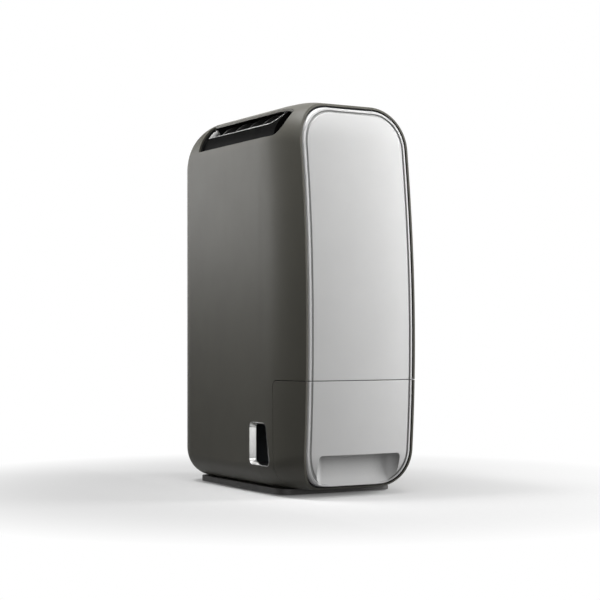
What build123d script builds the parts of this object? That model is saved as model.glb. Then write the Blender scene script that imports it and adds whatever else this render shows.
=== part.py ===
"""Slim desiccant dehumidifier: casing, tank drawer, air path, drive and controls, in millimetres."""

import math
import os

from build123d import *

os.makedirs("parts", exist_ok=True)

# Overall size of the standing appliance, front towards -Y, outlet side towards -X
WIDTH = 184.0
DEPTH = 322.0
HEIGHT = 474.0
WALL = 2.5

# Clearances: moving plastic, running shafts, drop-in seats
MOVE_CLEAR = 0.3
RUN_CLEAR = 0.06
SEAT_CLEAR = 0.2

# Casing roundings: shoulders, lower edges, back edges
SHOULDER_R = 50.0
LOWER_R = 28.0
LOWER_GROW = 22.0
BACK_R = 40.0
BACK_TOP_R = 60.0
BACK_LOW_R = 52.0

# Front of the casing: narrowing of the sides, drop of the top, bow seen from the side
TAPER_RUN = 64.0
TAPER = 15.5
DROP_RUN = 34.0
DROP = 5.0
BOW_R = 1700.0
BOW_Z = 190.0
CROWN = 5.0
FRONT_SPARE = 3.0
FLAT_BULGE = 0.02
FLAT_LEFT = 1.0
LOW_ROLL_END = 84.0
TOP_ROLL_SWEEP = 36.0
TOP_ROLL_R = 130.0
TOP_ROLL_DROP = 49.0
LOW_ROLL_R = 62.0
LOW_ROLL_Z = 52.0

# Plinth and feet
FOOT_PROUD = 1.5
PLINTH_H = 7.0
PLINTH_SIDE = 13.0
PLINTH_FRONT_SET = 52.0
PLINTH_BACK_SET = 37.0
PLINTH_R = 16.0
PLINTH_T = 3.0
FOOT_R = 9.0
FOOT_INSET = 22.0

# White front panels
PANEL_GAP = 2.0
PANEL_T = 3.0
RIM_W = 2.4
GROOVE_W = 2.4
GROOVE_D = 1.2
POST_R = 5.0
POST_SET = 34.0

# Tank drawer
TANK_SEAM_Z = 139.5
TANK_CHEEK = 54.0
TANK_CORNER_R = 8.0
SEAM = 0.8
TANK_PLATE_Y = 32.0
TANK_PLATE_T = 4.0
TUB_SIDE = 22.0
TUB_L = 165.0
TUB_H = 110.0
TUB_T = 2.2
TUB_R = 14.0
TUB_LOW_R = 12.0
TUB_RIM = 3.0
RUNNER_W = 8.0
RUNNER_H = 1.5
RUNNER_SET = 20.0

# Finger scoop at the foot of the tank front
SCOOP_SIDE = 35.0
SCOOP_TOP = 51.0
SCOOP_D = 18.0
SCOOP_R = 12.0
SCOOP_TOP_R = 5.0
SCOOP_T = 3.0

# Water window in the outlet side
WINDOW_TOP_W = 42.0
WINDOW_LOW_W = 52.0
WINDOW_H = 52.0
WINDOW_LOW = 35.5
WINDOW_SET = 58.5
WINDOW_R = 7.0
WINDOW_DEEP = 8.0
WINDOW_LIP = 1.0
WINDOW_FLARE = 4.0

# Air outlet in the shoulder
OUTLET_FRONT_SET = 42.5
OUTLET_BACK_SET = 64.0
OUTLET_RISE = 8.0
OUTLET_HIGH_ANGLE = 31.0
OUTLET_FRONT_R = 20.0
OUTLET_BACK_R = 14.0
DUCT_T = 2.0
DUCT_IN_SET = 8.0
DUCT_DROP = 28.0
DUCT_END = 5.0
VANE_T = 1.4
VANE_COUNT = 5
VANE_PITCH = 36.0
VANE_FIRST = 34.0

# Visor flap in the outlet, swinging on the shoulder's own centre line
FLAP_SINK = 4.5
FLAP_T = 2.2
FLAP_TOP_RISE = 25.5
FLAP_LAP = 3.0
FLAP_FRONT_SET = 18.5
FLAP_BACK_SET = 2.5
FLAP_HUB_R = 5.0
FLAP_PIN_R = 3.0
FLAP_MOTOR_R = 12.0
FLAP_MOTOR_L = 16.0

# Decks and partitions inside
FRAME_SET = 34.0
FRAME_T = 3.0
FRAME_RIB = 16.0
DECK_LIFT = 2.5
DECK_T = 3.0
NOZZLE_R = 9.0
NOZZLE_BORE = 6.0
NOZZLE_H = 6.0
REAR_WALL_GAP = 7.0
REAR_WALL_T = 3.0

# Intake side: opening, seat, grille, filter
INTAKE_FRONT_SET = 94.0
INTAKE_BACK_SET = 59.0
INTAKE_LIFT = 33.0
INTAKE_TOP_SET = 22.0
INTAKE_R = 12.0
SEAT_LAP = 8.0
SEAT_LEDGE = 5.0
SEAT_T = 10.0
GRILLE_BORDER = 10.0
GRILLE_PITCH = 9.0
GRILLE_BAR = 3.0
GRILLE_RIB = 5.0
FILTER_T = 6.0
FILTER_RING = 6.0
MESH_T = 1.0

# Condenser
COND_SET = 41.0
COND_T = 24.0
COND_W = 150.0
COND_TOP_SET = 24.0
COND_HEAD = 22.0
COND_TUBES = 12
COND_TUBE_W = 7.0
COND_TUBE_T = 19.0

# Desiccant rotor and its drive
ROTOR_R = 92.0
ROTOR_T = 22.0
ROTOR_SET = 6.0
RIM_T = 18.0
HUB_R = 16.0
AXLE_R = 4.0
GEAR_MODULE = 4.0
ROTOR_TEETH = 50
PINION_TEETH = 10
TOOTH_TIP = 0.7
TOOTH_ROOT = 0.95
TIP_SHARE = 0.24
ROOT_SHARE = 0.52
PINION_ANGLE = -45.0
HOUSING_SET = 80.0
HOUSING_T = 34.0
HOUSING_FACE = 4.0
HOUSING_GAP = 3.0
HOUSING_SIDE = 8.0
HOUSING_LIP = 4.0
SPOKE_W = 9.0
ROTOR_MOTOR_R = 17.0
ROTOR_MOTOR_L = 24.0

# Heater and its circulating blower
HEATER_T = 22.0
HEATER_SPAN = 64.0
HEATER_IN_R = 22.0
HEATER_OUT_R = 98.0
HEATER_WALL = 1.5
HEATER_FINS = 5
HEATER_FIN_T = 1.2
HEATER_FIN_D = 12.0
REGEN_REACH = 87.0
REGEN_RISE = 66.0
REGEN_R = 26.0
REGEN_T = 26.0
REGEN_WALL = 2.0
REGEN_WHEEL_R = 20.0
REGEN_WHEEL_IN_R = 15.0
REGEN_BLADES = 14
REGEN_MOTOR_R = 12.0
REGEN_MOTOR_L = 16.0
REGEN_DUCT_H = 18.0

# Main fan
FAN_SET = 20.0
FAN_DROP = 5.0
FAN_SIDE = 7.0
FAN_W = 48.0
FAN_WALL = 2.0
SCROLL_R = 70.0
SCROLL_GROW = 24.0
TONGUE_ANGLE = 60.0
WHEEL_R = 62.0
WHEEL_IN_R = 49.0
WHEEL_W = 40.0
WHEEL_PLATE = 2.0
WHEEL_HUB_R = 9.0
BLADES = 24
BLADE_T = 1.2
BLADE_SET = 0.2
BLADE_LEAN = 28.0
INLET_R = 50.0
BELL_H = 3.0
FAN_MOTOR_R = 22.0
FAN_MOTOR_L = 21.0
SHAFT_R = 3.0
FAN_FOOT = 18.0

# Controls on top
CONTROL_X = 4.0
CONTROL_SET = 94.0
CONTROL_SIDE = 10.0
CONTROL_W = 46.0
CONTROL_R = 14.0
CONTROL_SINK = 1.0
CONTROL_LAP = 3.0
CONTROL_LAP_T = 2.0
BUTTONS = ("power", "mode", "timer", "swing")
BUTTON_SIDE = 10.25
BUTTON_GAP = 4.5
BUTTON_ROW = -7.0
BUTTON_PROUD = 0.8
BUTTON_FLANGE = 1.2
BUTTON_FLANGE_T = 1.6
BUTTON_TRAVEL = 1.2
LENS_SIDE = 12.0
LENS_W = 5.0
LENS_ROW = 12.0
BOARD_T = 1.6
BOARD_DROP = 8.0
KEY_SWITCH = 6.0

# Rear electrics and small fittings
POWER_BOARD_W = 104.0
POWER_BOARD_H = 84.0
POWER_BOARD_Z = 34.0
STANDOFF_H = 8.0
STANDOFF_R = 3.5
CAPACITOR_R = 5.6
GLAND_X = -38.0
GLAND_Z = 82.0
GLAND_R = 7.0
GLAND_BORE = 4.0
GLAND_FLANGE_R = 10.0
GLAND_L = 12.0
SWITCH_W = 22.0
SWITCH_H = 14.0
SWITCH_T = 4.0
SENSOR_W = 24.0
SENSOR_H = 30.0
SENSOR_T = 8.0
SCREW_R = 2.0
SCREW_HEAD_R = 4.0
SCREW_HEAD_T = 2.4

# Float in the tank
FLOAT_W = 34.0
FLOAT_L = 30.0
FLOAT_H = 18.0
FLOAT_ARM = 46.0
FLOAT_DIP = 38.0
FLOAT_PIN_R = 2.5
FLOAT_LUG = 4.0
FLOAT_PIVOT_SET = 14.0
FLOAT_PIVOT_DROP = 18.0

# Places worked out from the sizes above
HALF = WIDTH / 2
BACK_Y = DEPTH / 2
EDGE_Y = CROWN - DEPTH / 2
START_Y = -DEPTH / 2 - FRONT_SPARE
LOW = FOOT_PROUD + PLINTH_H
FLOOR = LOW + WALL
BOW_Y = EDGE_Y + BOW_R
TAPER_R = (TAPER_RUN**2 + TAPER**2) / (2 * TAPER)
DROP_R = (DROP_RUN**2 + DROP**2) / (2 * DROP)
CROWN_HALF = HALF - TAPER - WALL - PANEL_GAP
CROWN_R = (CROWN_HALF**2 + CROWN**2) / (2 * CROWN)
SEAM_Y = EDGE_Y + TANK_CHEEK
PLATE_Y = EDGE_Y + TANK_PLATE_Y
DECK_LOW = TANK_SEAM_Z + DECK_LIFT
DECK_TOP = DECK_LOW + DECK_T
FRAME_Y = EDGE_Y + FRAME_SET
PIVOT_X = SHOULDER_R - HALF
PIVOT_Z = HEIGHT - SHOULDER_R
FLAP_R = SHOULDER_R - FLAP_SINK
TUB_LOW = FLOOR + MOVE_CLEAR + RUNNER_H
TUB_FRONT = PLATE_Y + TANK_PLATE_T
TUB_BACK = TUB_FRONT + TUB_L
TUB_TOP = TUB_LOW + TUB_H
REAR_WALL_Y = TUB_BACK + REAR_WALL_GAP
TOP_ROLL_Z = HEIGHT - TOP_ROLL_DROP
PLINTH_W = WIDTH - 2 * PLINTH_SIDE
POST_X = HALF - POST_SET
TUB_W = WIDTH - 2 * TUB_SIDE
RUNNER_X = TUB_W / 2 - RUNNER_SET
SCOOP_W = WIDTH - 2 * SCOOP_SIDE
WINDOW_BACK_Y = SEAM_Y + WINDOW_SET
OUTLET_FRONT_Y = EDGE_Y + OUTLET_FRONT_SET
OUTLET_BACK_Y = BACK_Y - OUTLET_BACK_SET
OUTLET_LOW = PIVOT_Z + OUTLET_RISE
DUCT_X = PIVOT_X + DUCT_IN_SET
DUCT_FLOOR = PIVOT_Z - DUCT_DROP
FLAP_TOP_Z = PIVOT_Z + FLAP_TOP_RISE
INTAKE_FRONT = EDGE_Y + INTAKE_FRONT_SET
INTAKE_BACK = BACK_Y - INTAKE_BACK_SET
INTAKE_LOW = DECK_TOP + INTAKE_LIFT
INTAKE_HIGH = PIVOT_Z - INTAKE_TOP_SET
INTAKE_Y = (INTAKE_FRONT + INTAKE_BACK) / 2
INTAKE_Z = (INTAKE_LOW + INTAKE_HIGH) / 2
INTAKE_W = INTAKE_BACK - INTAKE_FRONT
INTAKE_H = INTAKE_HIGH - INTAKE_LOW
COND_X = HALF - COND_SET
COND_TOP = PIVOT_Z - COND_TOP_SET
HOUSING_X = HALF - HOUSING_SET
REGEN_Y = INTAKE_Y + REGEN_REACH
REGEN_Z = INTAKE_Z + REGEN_RISE
FAN_X = FAN_SIDE - HALF
FAN_Y = INTAKE_Y - FAN_SET
FAN_Z = INTAKE_Z - FAN_DROP
CONTROL_Y = EDGE_Y + CONTROL_SET
CONTROL_L = 2 * (HALF - SHOULDER_R - CONTROL_SIDE)
BUTTON_PITCH = (CONTROL_L - 2 * BUTTON_SIDE) / (len(BUTTONS) - 1)
BUTTON_R = (BUTTON_PITCH - BUTTON_GAP) / 2
LENS_L = CONTROL_L - 2 * LENS_SIDE


def fall(run, radius):
    """Depth by which an arc of this radius has left its tangent after a run."""
    return radius - math.sqrt(radius**2 - max(run, 0.0) ** 2)


def half_width(y, z, inset):
    """Half width of the casing at a place, drawn in by an inset."""
    behind_edge = y - EDGE_Y - fall(abs(z - BOW_Z), BOW_R)
    narrowed = fall(TAPER_RUN - behind_edge, TAPER_R)
    rounded = fall(y - (BACK_Y - BACK_R), BACK_R - inset)
    return HALF - inset - narrowed - rounded


def top_line(y, inset):
    """Height of the casing's top at a depth."""
    behind_edge = y - EDGE_Y - fall(HEIGHT - BOW_Z, BOW_R)
    dropped = fall(DROP_RUN - behind_edge, DROP_R)
    return HEIGHT - inset - dropped - fall(y - (BACK_Y - BACK_TOP_R), BACK_TOP_R - inset)


def low_line(y, inset):
    """Height of the casing's underside at a depth."""
    return LOW + inset + fall(y - (BACK_Y - BACK_LOW_R), BACK_LOW_R - inset)


def casing_section(y, inset):
    """Upright section across the casing, square to Y."""
    top = top_line(y, inset)
    low = low_line(y, inset)
    right = [(half_width(y, z, inset), z) for z in (low, (low + top) / 2, top)]
    left = [(-x, z) for x, z in right]
    bulge = right[1][0] - (right[0][0] + right[2][0]) / 2
    with BuildSketch(Plane.XZ.offset(-y)) as section:
        with BuildLine():
            for side in (right, left):
                if bulge > FLAT_BULGE:
                    ThreePointArc(*side)
                else:
                    Line(side[0], side[2])
            Line(right[0], left[0])
            Line(right[2], left[2])
        make_face()
        fillet(section.vertices().group_by(Axis.Y)[-1], min(SHOULDER_R - inset, right[2][0] - FLAT_LEFT))
        forward = max(STRAIGHT_Y - y, 0.0) / (STRAIGHT_Y - EDGE_Y)
        lower = LOWER_R - inset + LOWER_GROW * forward
        fillet(section.vertices().group_by(Axis.Y)[0], min(lower, right[0][0] - FLAT_LEFT))
    return section.sketch


def casing_front(inset, steps=7):
    """Front stretch of the casing, from before its edge to where its sides run straight."""
    run = STRAIGHT_Y - START_Y
    with BuildPart() as stretch:
        loft([casing_section(START_Y + run * k / steps, inset) for k in range(steps + 1)])
    return stretch.part


def casing(inset):
    """Whole casing as a solid, drawn in by an inset."""
    round_1 = BACK_Y - max(BACK_TOP_R, BACK_LOW_R)
    round_2 = BACK_Y - BACK_R
    end = BACK_Y - inset
    with BuildPart() as body:
        add(casing_front(inset))
        extrude(casing_section(STRAIGHT_Y, inset), amount=round_1 - STRAIGHT_Y, dir=(0, 1, 0))
        loft([casing_section(round_1 + (round_2 - round_1) * k / 3, inset) for k in range(4)])
        turns = [90.0 * k / 8 for k in range(9)]
        loft([casing_section(round_2 + (end - round_2) * math.sin(math.radians(t)), inset) for t in turns])
    return body.part


def front_arcs(inset):
    """Side-view line of the front, from under the foot to the top, drawn in by an inset."""
    rise = math.degrees(math.asin((TOP_ROLL_Z - BOW_Z) / BOW_R))
    dip = math.degrees(math.asin((BOW_Z - LOW_ROLL_Z) / BOW_R))
    sweep_low = LOW_ROLL_END - dip
    reach_top = BOW_R - TOP_ROLL_R
    reach_low = BOW_R - LOW_ROLL_R
    top_at = (
        BOW_Y - reach_top * math.cos(math.radians(rise)),
        BOW_Z + reach_top * math.sin(math.radians(rise)),
    )
    low_at = (
        BOW_Y - reach_low * math.cos(math.radians(dip)),
        BOW_Z - reach_low * math.sin(math.radians(dip)),
    )
    with BuildLine(Plane.YZ) as line:
        CenterArc(low_at, LOW_ROLL_R + CROWN - inset, 180 + dip + sweep_low, -sweep_low)
        CenterArc((BOW_Y, BOW_Z), BOW_R + CROWN - inset, 180 + dip, -dip - rise)
        CenterArc(top_at, TOP_ROLL_R + CROWN - inset, 180 - rise, -TOP_ROLL_SWEEP)
    return line.line


def behind_front(inset):
    """Everything behind the front line, as wide as the casing."""
    arcs = front_arcs(inset)
    start = arcs @ 0
    stop = arcs @ 1
    far = DEPTH
    with BuildPart() as region:
        with BuildSketch(Plane.YZ):
            with BuildLine():
                add(Plane.YZ.to_local_coords(arcs))
                Polyline((stop.Y, stop.Z), (far, stop.Z), (far, start.Z), (start.Y, start.Z))
            make_face()
        extrude(amount=WIDTH, both=True)
    return region.part


def crowned_plate(outer, inner):
    """Layer of the crowned front between two depths under its surface."""
    path = front_arcs(0)
    across = Plane(origin=path @ 0, x_dir=(1, 0, 0), z_dir=path % 0)
    sag = fall(HALF, CROWN_R)
    with BuildPart() as layer:
        with BuildSketch(across):
            with BuildLine():
                ThreePointArc((-HALF, sag + outer), (0, outer), (HALF, sag + outer))
                Line((HALF, sag + outer), (HALF, sag + inner))
                ThreePointArc((HALF, sag + inner), (0, inner), (-HALF, sag + inner))
                Line((-HALF, sag + inner), (-HALF, sag + outer))
            make_face()
        sweep(path=path)
    return layer.part


def block(x, y, z, mode=Mode.ADD):
    """Box between two limits on each axis."""
    with Locations(((x[0] + x[1]) / 2, (y[0] + y[1]) / 2, (z[0] + z[1]) / 2)):
        Box(x[1] - x[0], y[1] - y[0], z[1] - z[0], mode=mode)


def rod(axis, centre, span, radius, mode=Mode.ADD):
    """Cylinder along one axis between two limits; centre gives the other two coordinates in order."""
    middle = (span[0] + span[1]) / 2
    places = {
        "X": ((middle, *centre), (0, 90, 0)),
        "Y": ((centre[0], middle, centre[1]), (90, 0, 0)),
        "Z": ((*centre, middle), (0, 0, 0)),
    }
    with Locations(Location(*places[axis])):
        Cylinder(radius, span[1] - span[0], mode=mode)


def save(builder, label):
    """Name a finished piece and write it."""
    builder.part.label = label
    export_step(builder.part, f"parts/{label}.step")


STRAIGHT_Y = EDGE_Y + TAPER_RUN + fall(HEIGHT - BOW_Z, BOW_R)
OUTER = casing(0)
INNER = casing(WALL)
FRONT_LIMIT = behind_front(CROWN)
PANEL_INSET = WALL + PANEL_GAP
PANEL_OUTLINE = casing_front(PANEL_INSET)
GROOVE_OUT = casing_front(PANEL_INSET + RIM_W)
GROOVE_IN = casing_front(PANEL_INSET + RIM_W + GROOVE_W)
FAR = 2 * HEIGHT


def tank_zone(grow):
    """Side-view region of the tank drawer, grown or shrunk along its seams."""
    with BuildPart() as zone:
        with BuildSketch(Plane.YZ) as side:
            with Locations((SEAM_Y + grow, TANK_SEAM_Z + grow)):
                Rectangle(DEPTH, HEIGHT, align=(Align.MAX, Align.MAX))
            corner = side.vertices().sort_by(Axis.X)[-2:].sort_by(Axis.Y)[-1]
            fillet(corner, TANK_CORNER_R + grow)
        extrude(amount=WIDTH, both=True)
    return zone.part


def outlet_opening():
    """Cutter for the air outlet in the shoulder."""
    high_x = PIVOT_X - SHOULDER_R * math.sin(math.radians(OUTLET_HIGH_ANGLE))
    length = OUTLET_BACK_Y - OUTLET_FRONT_Y
    with BuildPart() as cutter:
        with BuildSketch(Plane.YZ.offset(high_x)) as side:
            with Locations((OUTLET_FRONT_Y, OUTLET_LOW)):
                Rectangle(length, HEIGHT, align=(Align.MIN, Align.MIN))
            low = side.vertices().group_by(Axis.Y)[0].sort_by(Axis.X)
            fillet(low[0], OUTLET_FRONT_R)
            fillet(low[1], OUTLET_BACK_R)
        extrude(amount=-WIDTH)
    return cutter.part


def window_sketch(x, shrink):
    """Outline of the water window on an upright plane, drawn in by an amount."""
    high = WINDOW_LOW + WINDOW_H
    with BuildSketch(Plane.YZ.offset(x)) as outline:
        with BuildLine():
            Polyline(
                (WINDOW_BACK_Y, WINDOW_LOW),
                (WINDOW_BACK_Y, high),
                (WINDOW_BACK_Y - WINDOW_TOP_W, high),
                (WINDOW_BACK_Y - WINDOW_LOW_W, WINDOW_LOW),
                close=True,
            )
        make_face()
        fillet(outline.vertices(), WINDOW_R)
        if shrink:
            offset(amount=-shrink, mode=Mode.REPLACE)
    return outline.sketch


def control_sketch(z, grow):
    """Outline of the control panel on a level plane."""
    with BuildSketch(Plane.XY.offset(z)) as outline:
        with Locations((CONTROL_X, CONTROL_Y)):
            RectangleRounded(CONTROL_L + 2 * grow, CONTROL_W + 2 * grow, CONTROL_R + grow)
    return outline.sketch


def intake_sketch(x, grow):
    """Outline of the air intake on an upright plane."""
    with BuildSketch(Plane.YZ.offset(x)) as outline:
        with Locations((INTAKE_Y, INTAKE_Z)):
            RectangleRounded(INTAKE_W + 2 * grow, INTAKE_H + 2 * grow, max(INTAKE_R + grow, 1.0))
    return outline.sketch


# Casing: a tube with a closed back, parted along the middle
with BuildPart() as tube:
    add(OUTER)
    add(INNER, mode=Mode.SUBTRACT)
    add(FRONT_LIMIT, mode=Mode.INTERSECT)

SCREW_PLACES = [
    (x * (PLINTH_W / 2 - FOOT_INSET), y)
    for x in (-1, 1)
    for y in (SEAM_Y + 2 * FOOT_INSET, BACK_Y - PLINTH_BACK_SET - 2 * FOOT_INSET)
]

with BuildPart() as left_shell:
    add(tube.part)
    add(tank_zone(SEAM / 2), mode=Mode.SUBTRACT)
    block((0, FAR), (-FAR, FAR), (-FAR, FAR), mode=Mode.SUBTRACT)
    add(outlet_opening(), mode=Mode.SUBTRACT)
    extrude(window_sketch(-HALF - WALL, 0), amount=WINDOW_DEEP, dir=(1, 0, 0), mode=Mode.SUBTRACT)
    extrude(control_sketch(HEIGHT + WALL, 0), amount=-3 * WALL, mode=Mode.SUBTRACT)
    rod("Y", (GLAND_X, GLAND_Z), (BACK_Y - 2 * WALL, BACK_Y + WALL), GLAND_R, Mode.SUBTRACT)
    for place in SCREW_PLACES[:2]:
        rod("Z", place, (LOW - WALL, FLOOR + WALL), SCREW_R + SEAT_CLEAR, Mode.SUBTRACT)
save(left_shell, "left_shell")

with BuildPart() as right_shell:
    add(tube.part)
    add(tank_zone(SEAM / 2), mode=Mode.SUBTRACT)
    block((-FAR, 0), (-FAR, FAR), (-FAR, FAR), mode=Mode.SUBTRACT)
    extrude(intake_sketch(HALF + WALL, 0), amount=-2 * WALL - 1, mode=Mode.SUBTRACT)
    extrude(control_sketch(HEIGHT + WALL, 0), amount=-3 * WALL, mode=Mode.SUBTRACT)
    for place in SCREW_PLACES[2:]:
        rod("Z", place, (LOW - WALL, FLOOR + WALL), SCREW_R + SEAT_CLEAR, Mode.SUBTRACT)
save(right_shell, "right_shell")

# White front panel, with a rim and a groove round its face and posts on its back
PANEL_LOW = TANK_SEAM_Z + SEAM / 2
POST_LINE = behind_front(fall(POST_X, CROWN_R) + PANEL_T / 2)
PANEL_POSTS = [
    (x * POST_X, z)
    for x in (-1, 1)
    for z in (PANEL_LOW + POST_X / 2, (PANEL_LOW + TOP_ROLL_Z) / 2, TOP_ROLL_Z)
]


def front_posts(places, back_y):
    """Mounting posts from a plane forward into a front panel."""
    with BuildPart() as posts:
        for place in places:
            rod("Y", place, (START_Y, back_y), POST_R)
        add(POST_LINE, mode=Mode.INTERSECT)
    return posts.part


with BuildPart() as groove:
    add(crowned_plate(-PANEL_T, GROOVE_D))
    add(GROOVE_OUT, mode=Mode.INTERSECT)
    add(GROOVE_IN, mode=Mode.SUBTRACT)

with BuildPart() as front_panel:
    add(crowned_plate(0, PANEL_T))
    add(PANEL_OUTLINE, mode=Mode.INTERSECT)
    block((-FAR, FAR), (-FAR, FAR), (-FAR, PANEL_LOW), mode=Mode.SUBTRACT)
    add(groove.part, mode=Mode.SUBTRACT)
    add(front_posts(PANEL_POSTS, FRAME_Y))
save(front_panel, "front_panel")

# Upright frame that the front panel is fixed to, standing on the deck
with BuildPart() as front_frame:
    add(INNER)
    block((-FAR, FAR), (FRAME_Y, FRAME_Y + FRAME_T), (DECK_TOP, HEIGHT), mode=Mode.INTERSECT)
    with BuildSketch(Plane.XZ.offset(-FRAME_Y - 2 * FRAME_T)):
        with Locations((0, (DECK_TOP + TOP_ROLL_Z) / 2)):
            RectangleRounded(2 * (POST_X - FRAME_RIB), TOP_ROLL_Z - DECK_TOP - 2 * FRAME_RIB, FRAME_RIB)
    extrude(amount=4 * FRAME_T, mode=Mode.SUBTRACT)
save(front_frame, "front_frame")

# Deck over the tank, with the drip nozzle
with BuildPart() as drip_deck:
    add(INNER)
    block((-FAR, FAR), (FRAME_Y, FAR), (DECK_LOW, DECK_TOP), mode=Mode.INTERSECT)
    rod("Z", (0, INTAKE_Y), (DECK_LOW - NOZZLE_H, DECK_LOW), NOZZLE_R)
    rod("Z", (0, INTAKE_Y), (DECK_LOW - FAR, DECK_TOP + FAR), NOZZLE_BORE, Mode.SUBTRACT)
save(drip_deck, "drip_deck")

# Partition behind the tank
with BuildPart() as rear_wall:
    add(INNER)
    block((-FAR, FAR), (REAR_WALL_Y, REAR_WALL_Y + REAR_WALL_T), (-FAR, DECK_LOW), mode=Mode.INTERSECT)
save(rear_wall, "rear_wall")

# Plinth with its underside hollow, rubber feet and the screws into the casing
PLINTH_FRONT = EDGE_Y + PLINTH_FRONT_SET
PLINTH_BACK = BACK_Y - PLINTH_BACK_SET
PLINTH_MID = (PLINTH_FRONT + PLINTH_BACK) / 2
PLINTH_L = PLINTH_BACK - PLINTH_FRONT
with BuildPart() as plinth:
    with BuildSketch(Plane.XY.offset(FOOT_PROUD)):
        with Locations((0, PLINTH_MID)):
            RectangleRounded(PLINTH_W, PLINTH_L, PLINTH_R)
    extrude(amount=PLINTH_H)
    with BuildSketch(Plane.XY.offset(FOOT_PROUD)):
        with Locations((0, PLINTH_MID)):
            RectangleRounded(PLINTH_W - 2 * PLINTH_T, PLINTH_L - 2 * PLINTH_T, PLINTH_R - PLINTH_T)
    extrude(amount=PLINTH_H - PLINTH_T, mode=Mode.SUBTRACT)
    for place in SCREW_PLACES:
        rod("Z", place, (0, LOW + WALL), SCREW_R + SEAT_CLEAR, Mode.SUBTRACT)
save(plinth, "plinth")

with BuildPart() as feet:
    for x in (-1, 1):
        for y in (PLINTH_FRONT + FOOT_INSET, PLINTH_BACK - FOOT_INSET):
            rod("Z", (x * (PLINTH_W / 2 - FOOT_INSET), y), (0, LOW - PLINTH_T), FOOT_R)
    fillet(feet.edges().group_by(Axis.Z)[0], FOOT_PROUD / 2)
save(feet, "feet")

with BuildPart() as case_screws:
    for place in SCREW_PLACES:
        rod("Z", place, (LOW - PLINTH_T, FLOOR), SCREW_R)
        rod("Z", place, (LOW - PLINTH_T - SCREW_HEAD_T, LOW - PLINTH_T), SCREW_HEAD_R)
save(case_screws, "case_screws")

# Tank drawer: dark wrap, carrier plate, white front with its scoop, clear tub
with BuildPart() as tank_wrap:
    add(tube.part)
    add(tank_zone(-SEAM / 2), mode=Mode.INTERSECT)
save(tank_wrap, "tank_wrap")

TANK_HIGH = TANK_SEAM_Z - SEAM / 2
with BuildPart() as tank_plate:
    add(INNER)
    block((-FAR, FAR), (PLATE_Y, TUB_FRONT), (-FAR, TANK_HIGH), mode=Mode.INTERSECT)
save(tank_plate, "tank_plate")

SCOOP_Y = EDGE_Y + SCOOP_D
TANK_POSTS = [(x * POST_X, z) for x in (-1, 1) for z in (SCOOP_TOP + 4 * POST_R, TANK_HIGH - 3 * POST_R)]


def scoop_form(grow):
    """Finger scoop open to the front and below, or its wall when grown."""
    half = SCOOP_W / 2 + grow
    with BuildPart() as form:
        block((-half, half), (START_Y, SCOOP_Y + grow), (-FAR, SCOOP_TOP + grow))
        inner = form.edges().group_by(Axis.Y)[-1]
        fillet(inner.filter_by(Axis.Z), SCOOP_R + grow)
        fillet(form.faces().sort_by(Axis.Z)[-1].edges().sort_by(Axis.Y)[1:], SCOOP_TOP_R + grow)
    return form.part


with BuildPart() as scoop_wall:
    add(crowned_plate(0, SCOOP_D + 4 * SCOOP_T))
    add(scoop_form(SCOOP_T), mode=Mode.INTERSECT)

with BuildPart() as tank_front:
    add(crowned_plate(0, PANEL_T))
    add(scoop_wall.part)
    add(PANEL_OUTLINE, mode=Mode.INTERSECT)
    block((-FAR, FAR), (-FAR, FAR), (TANK_HIGH, FAR), mode=Mode.SUBTRACT)
    add(groove.part, mode=Mode.SUBTRACT)
    add(scoop_form(0), mode=Mode.SUBTRACT)
    add(front_posts(TANK_POSTS, PLATE_Y))
save(tank_front, "tank_front")

TUB_MID = (TUB_FRONT + TUB_BACK) / 2
LUG_Y = TUB_BACK - TUB_T - FLOAT_PIVOT_SET
LUG_Z = TUB_TOP - FLOAT_PIVOT_DROP
LUG_X = FLOAT_W / 2 + MOVE_CLEAR


def tub_form(inset):
    """Tub as a solid with a rounded bottom, drawn in by an inset."""
    with BuildPart() as form:
        with BuildSketch(Plane.XY.offset(TUB_LOW + inset)):
            with Locations((0, TUB_MID)):
                RectangleRounded(TUB_W - 2 * inset, TUB_L - 2 * inset, TUB_R - inset)
        extrude(amount=TUB_H - inset)
        fillet(form.faces().sort_by(Axis.Z)[0].edges(), TUB_LOW_R - inset)
    return form.part


with BuildPart() as tank_tub:
    add(tub_form(0.0))
    add(tub_form(TUB_T), mode=Mode.SUBTRACT)
    with BuildSketch(Plane.XY.offset(TUB_TOP - TUB_RIM)) as rim:
        with Locations((0, TUB_MID)):
            Rectangle(TUB_W + 2 * TUB_RIM, TUB_L)
            RectangleRounded(TUB_W - 2 * TUB_T, TUB_L - 2 * TUB_T, TUB_R - TUB_T, mode=Mode.SUBTRACT)
    extrude(amount=TUB_RIM)
    for x in (-RUNNER_X, RUNNER_X):
        block(
            (x - RUNNER_W / 2, x + RUNNER_W / 2),
            (TUB_FRONT + TUB_R, TUB_BACK - TUB_R),
            (TUB_LOW - RUNNER_H, TUB_LOW + TUB_T / 2),
        )
    for x in (-LUG_X - FLOAT_LUG, LUG_X):
        block(
            (x, x + FLOAT_LUG),
            (LUG_Y - 2 * FLOAT_PIN_R, TUB_BACK - TUB_T),
            (LUG_Z - 2 * FLOAT_PIN_R, LUG_Z + 2 * FLOAT_PIN_R),
        )
    rod("X", (LUG_Y, LUG_Z), (-LUG_X - FLOAT_LUG, LUG_X + FLOAT_LUG), FLOAT_PIN_R + RUN_CLEAR, Mode.SUBTRACT)
save(tank_tub, "tank_tub")

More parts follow.
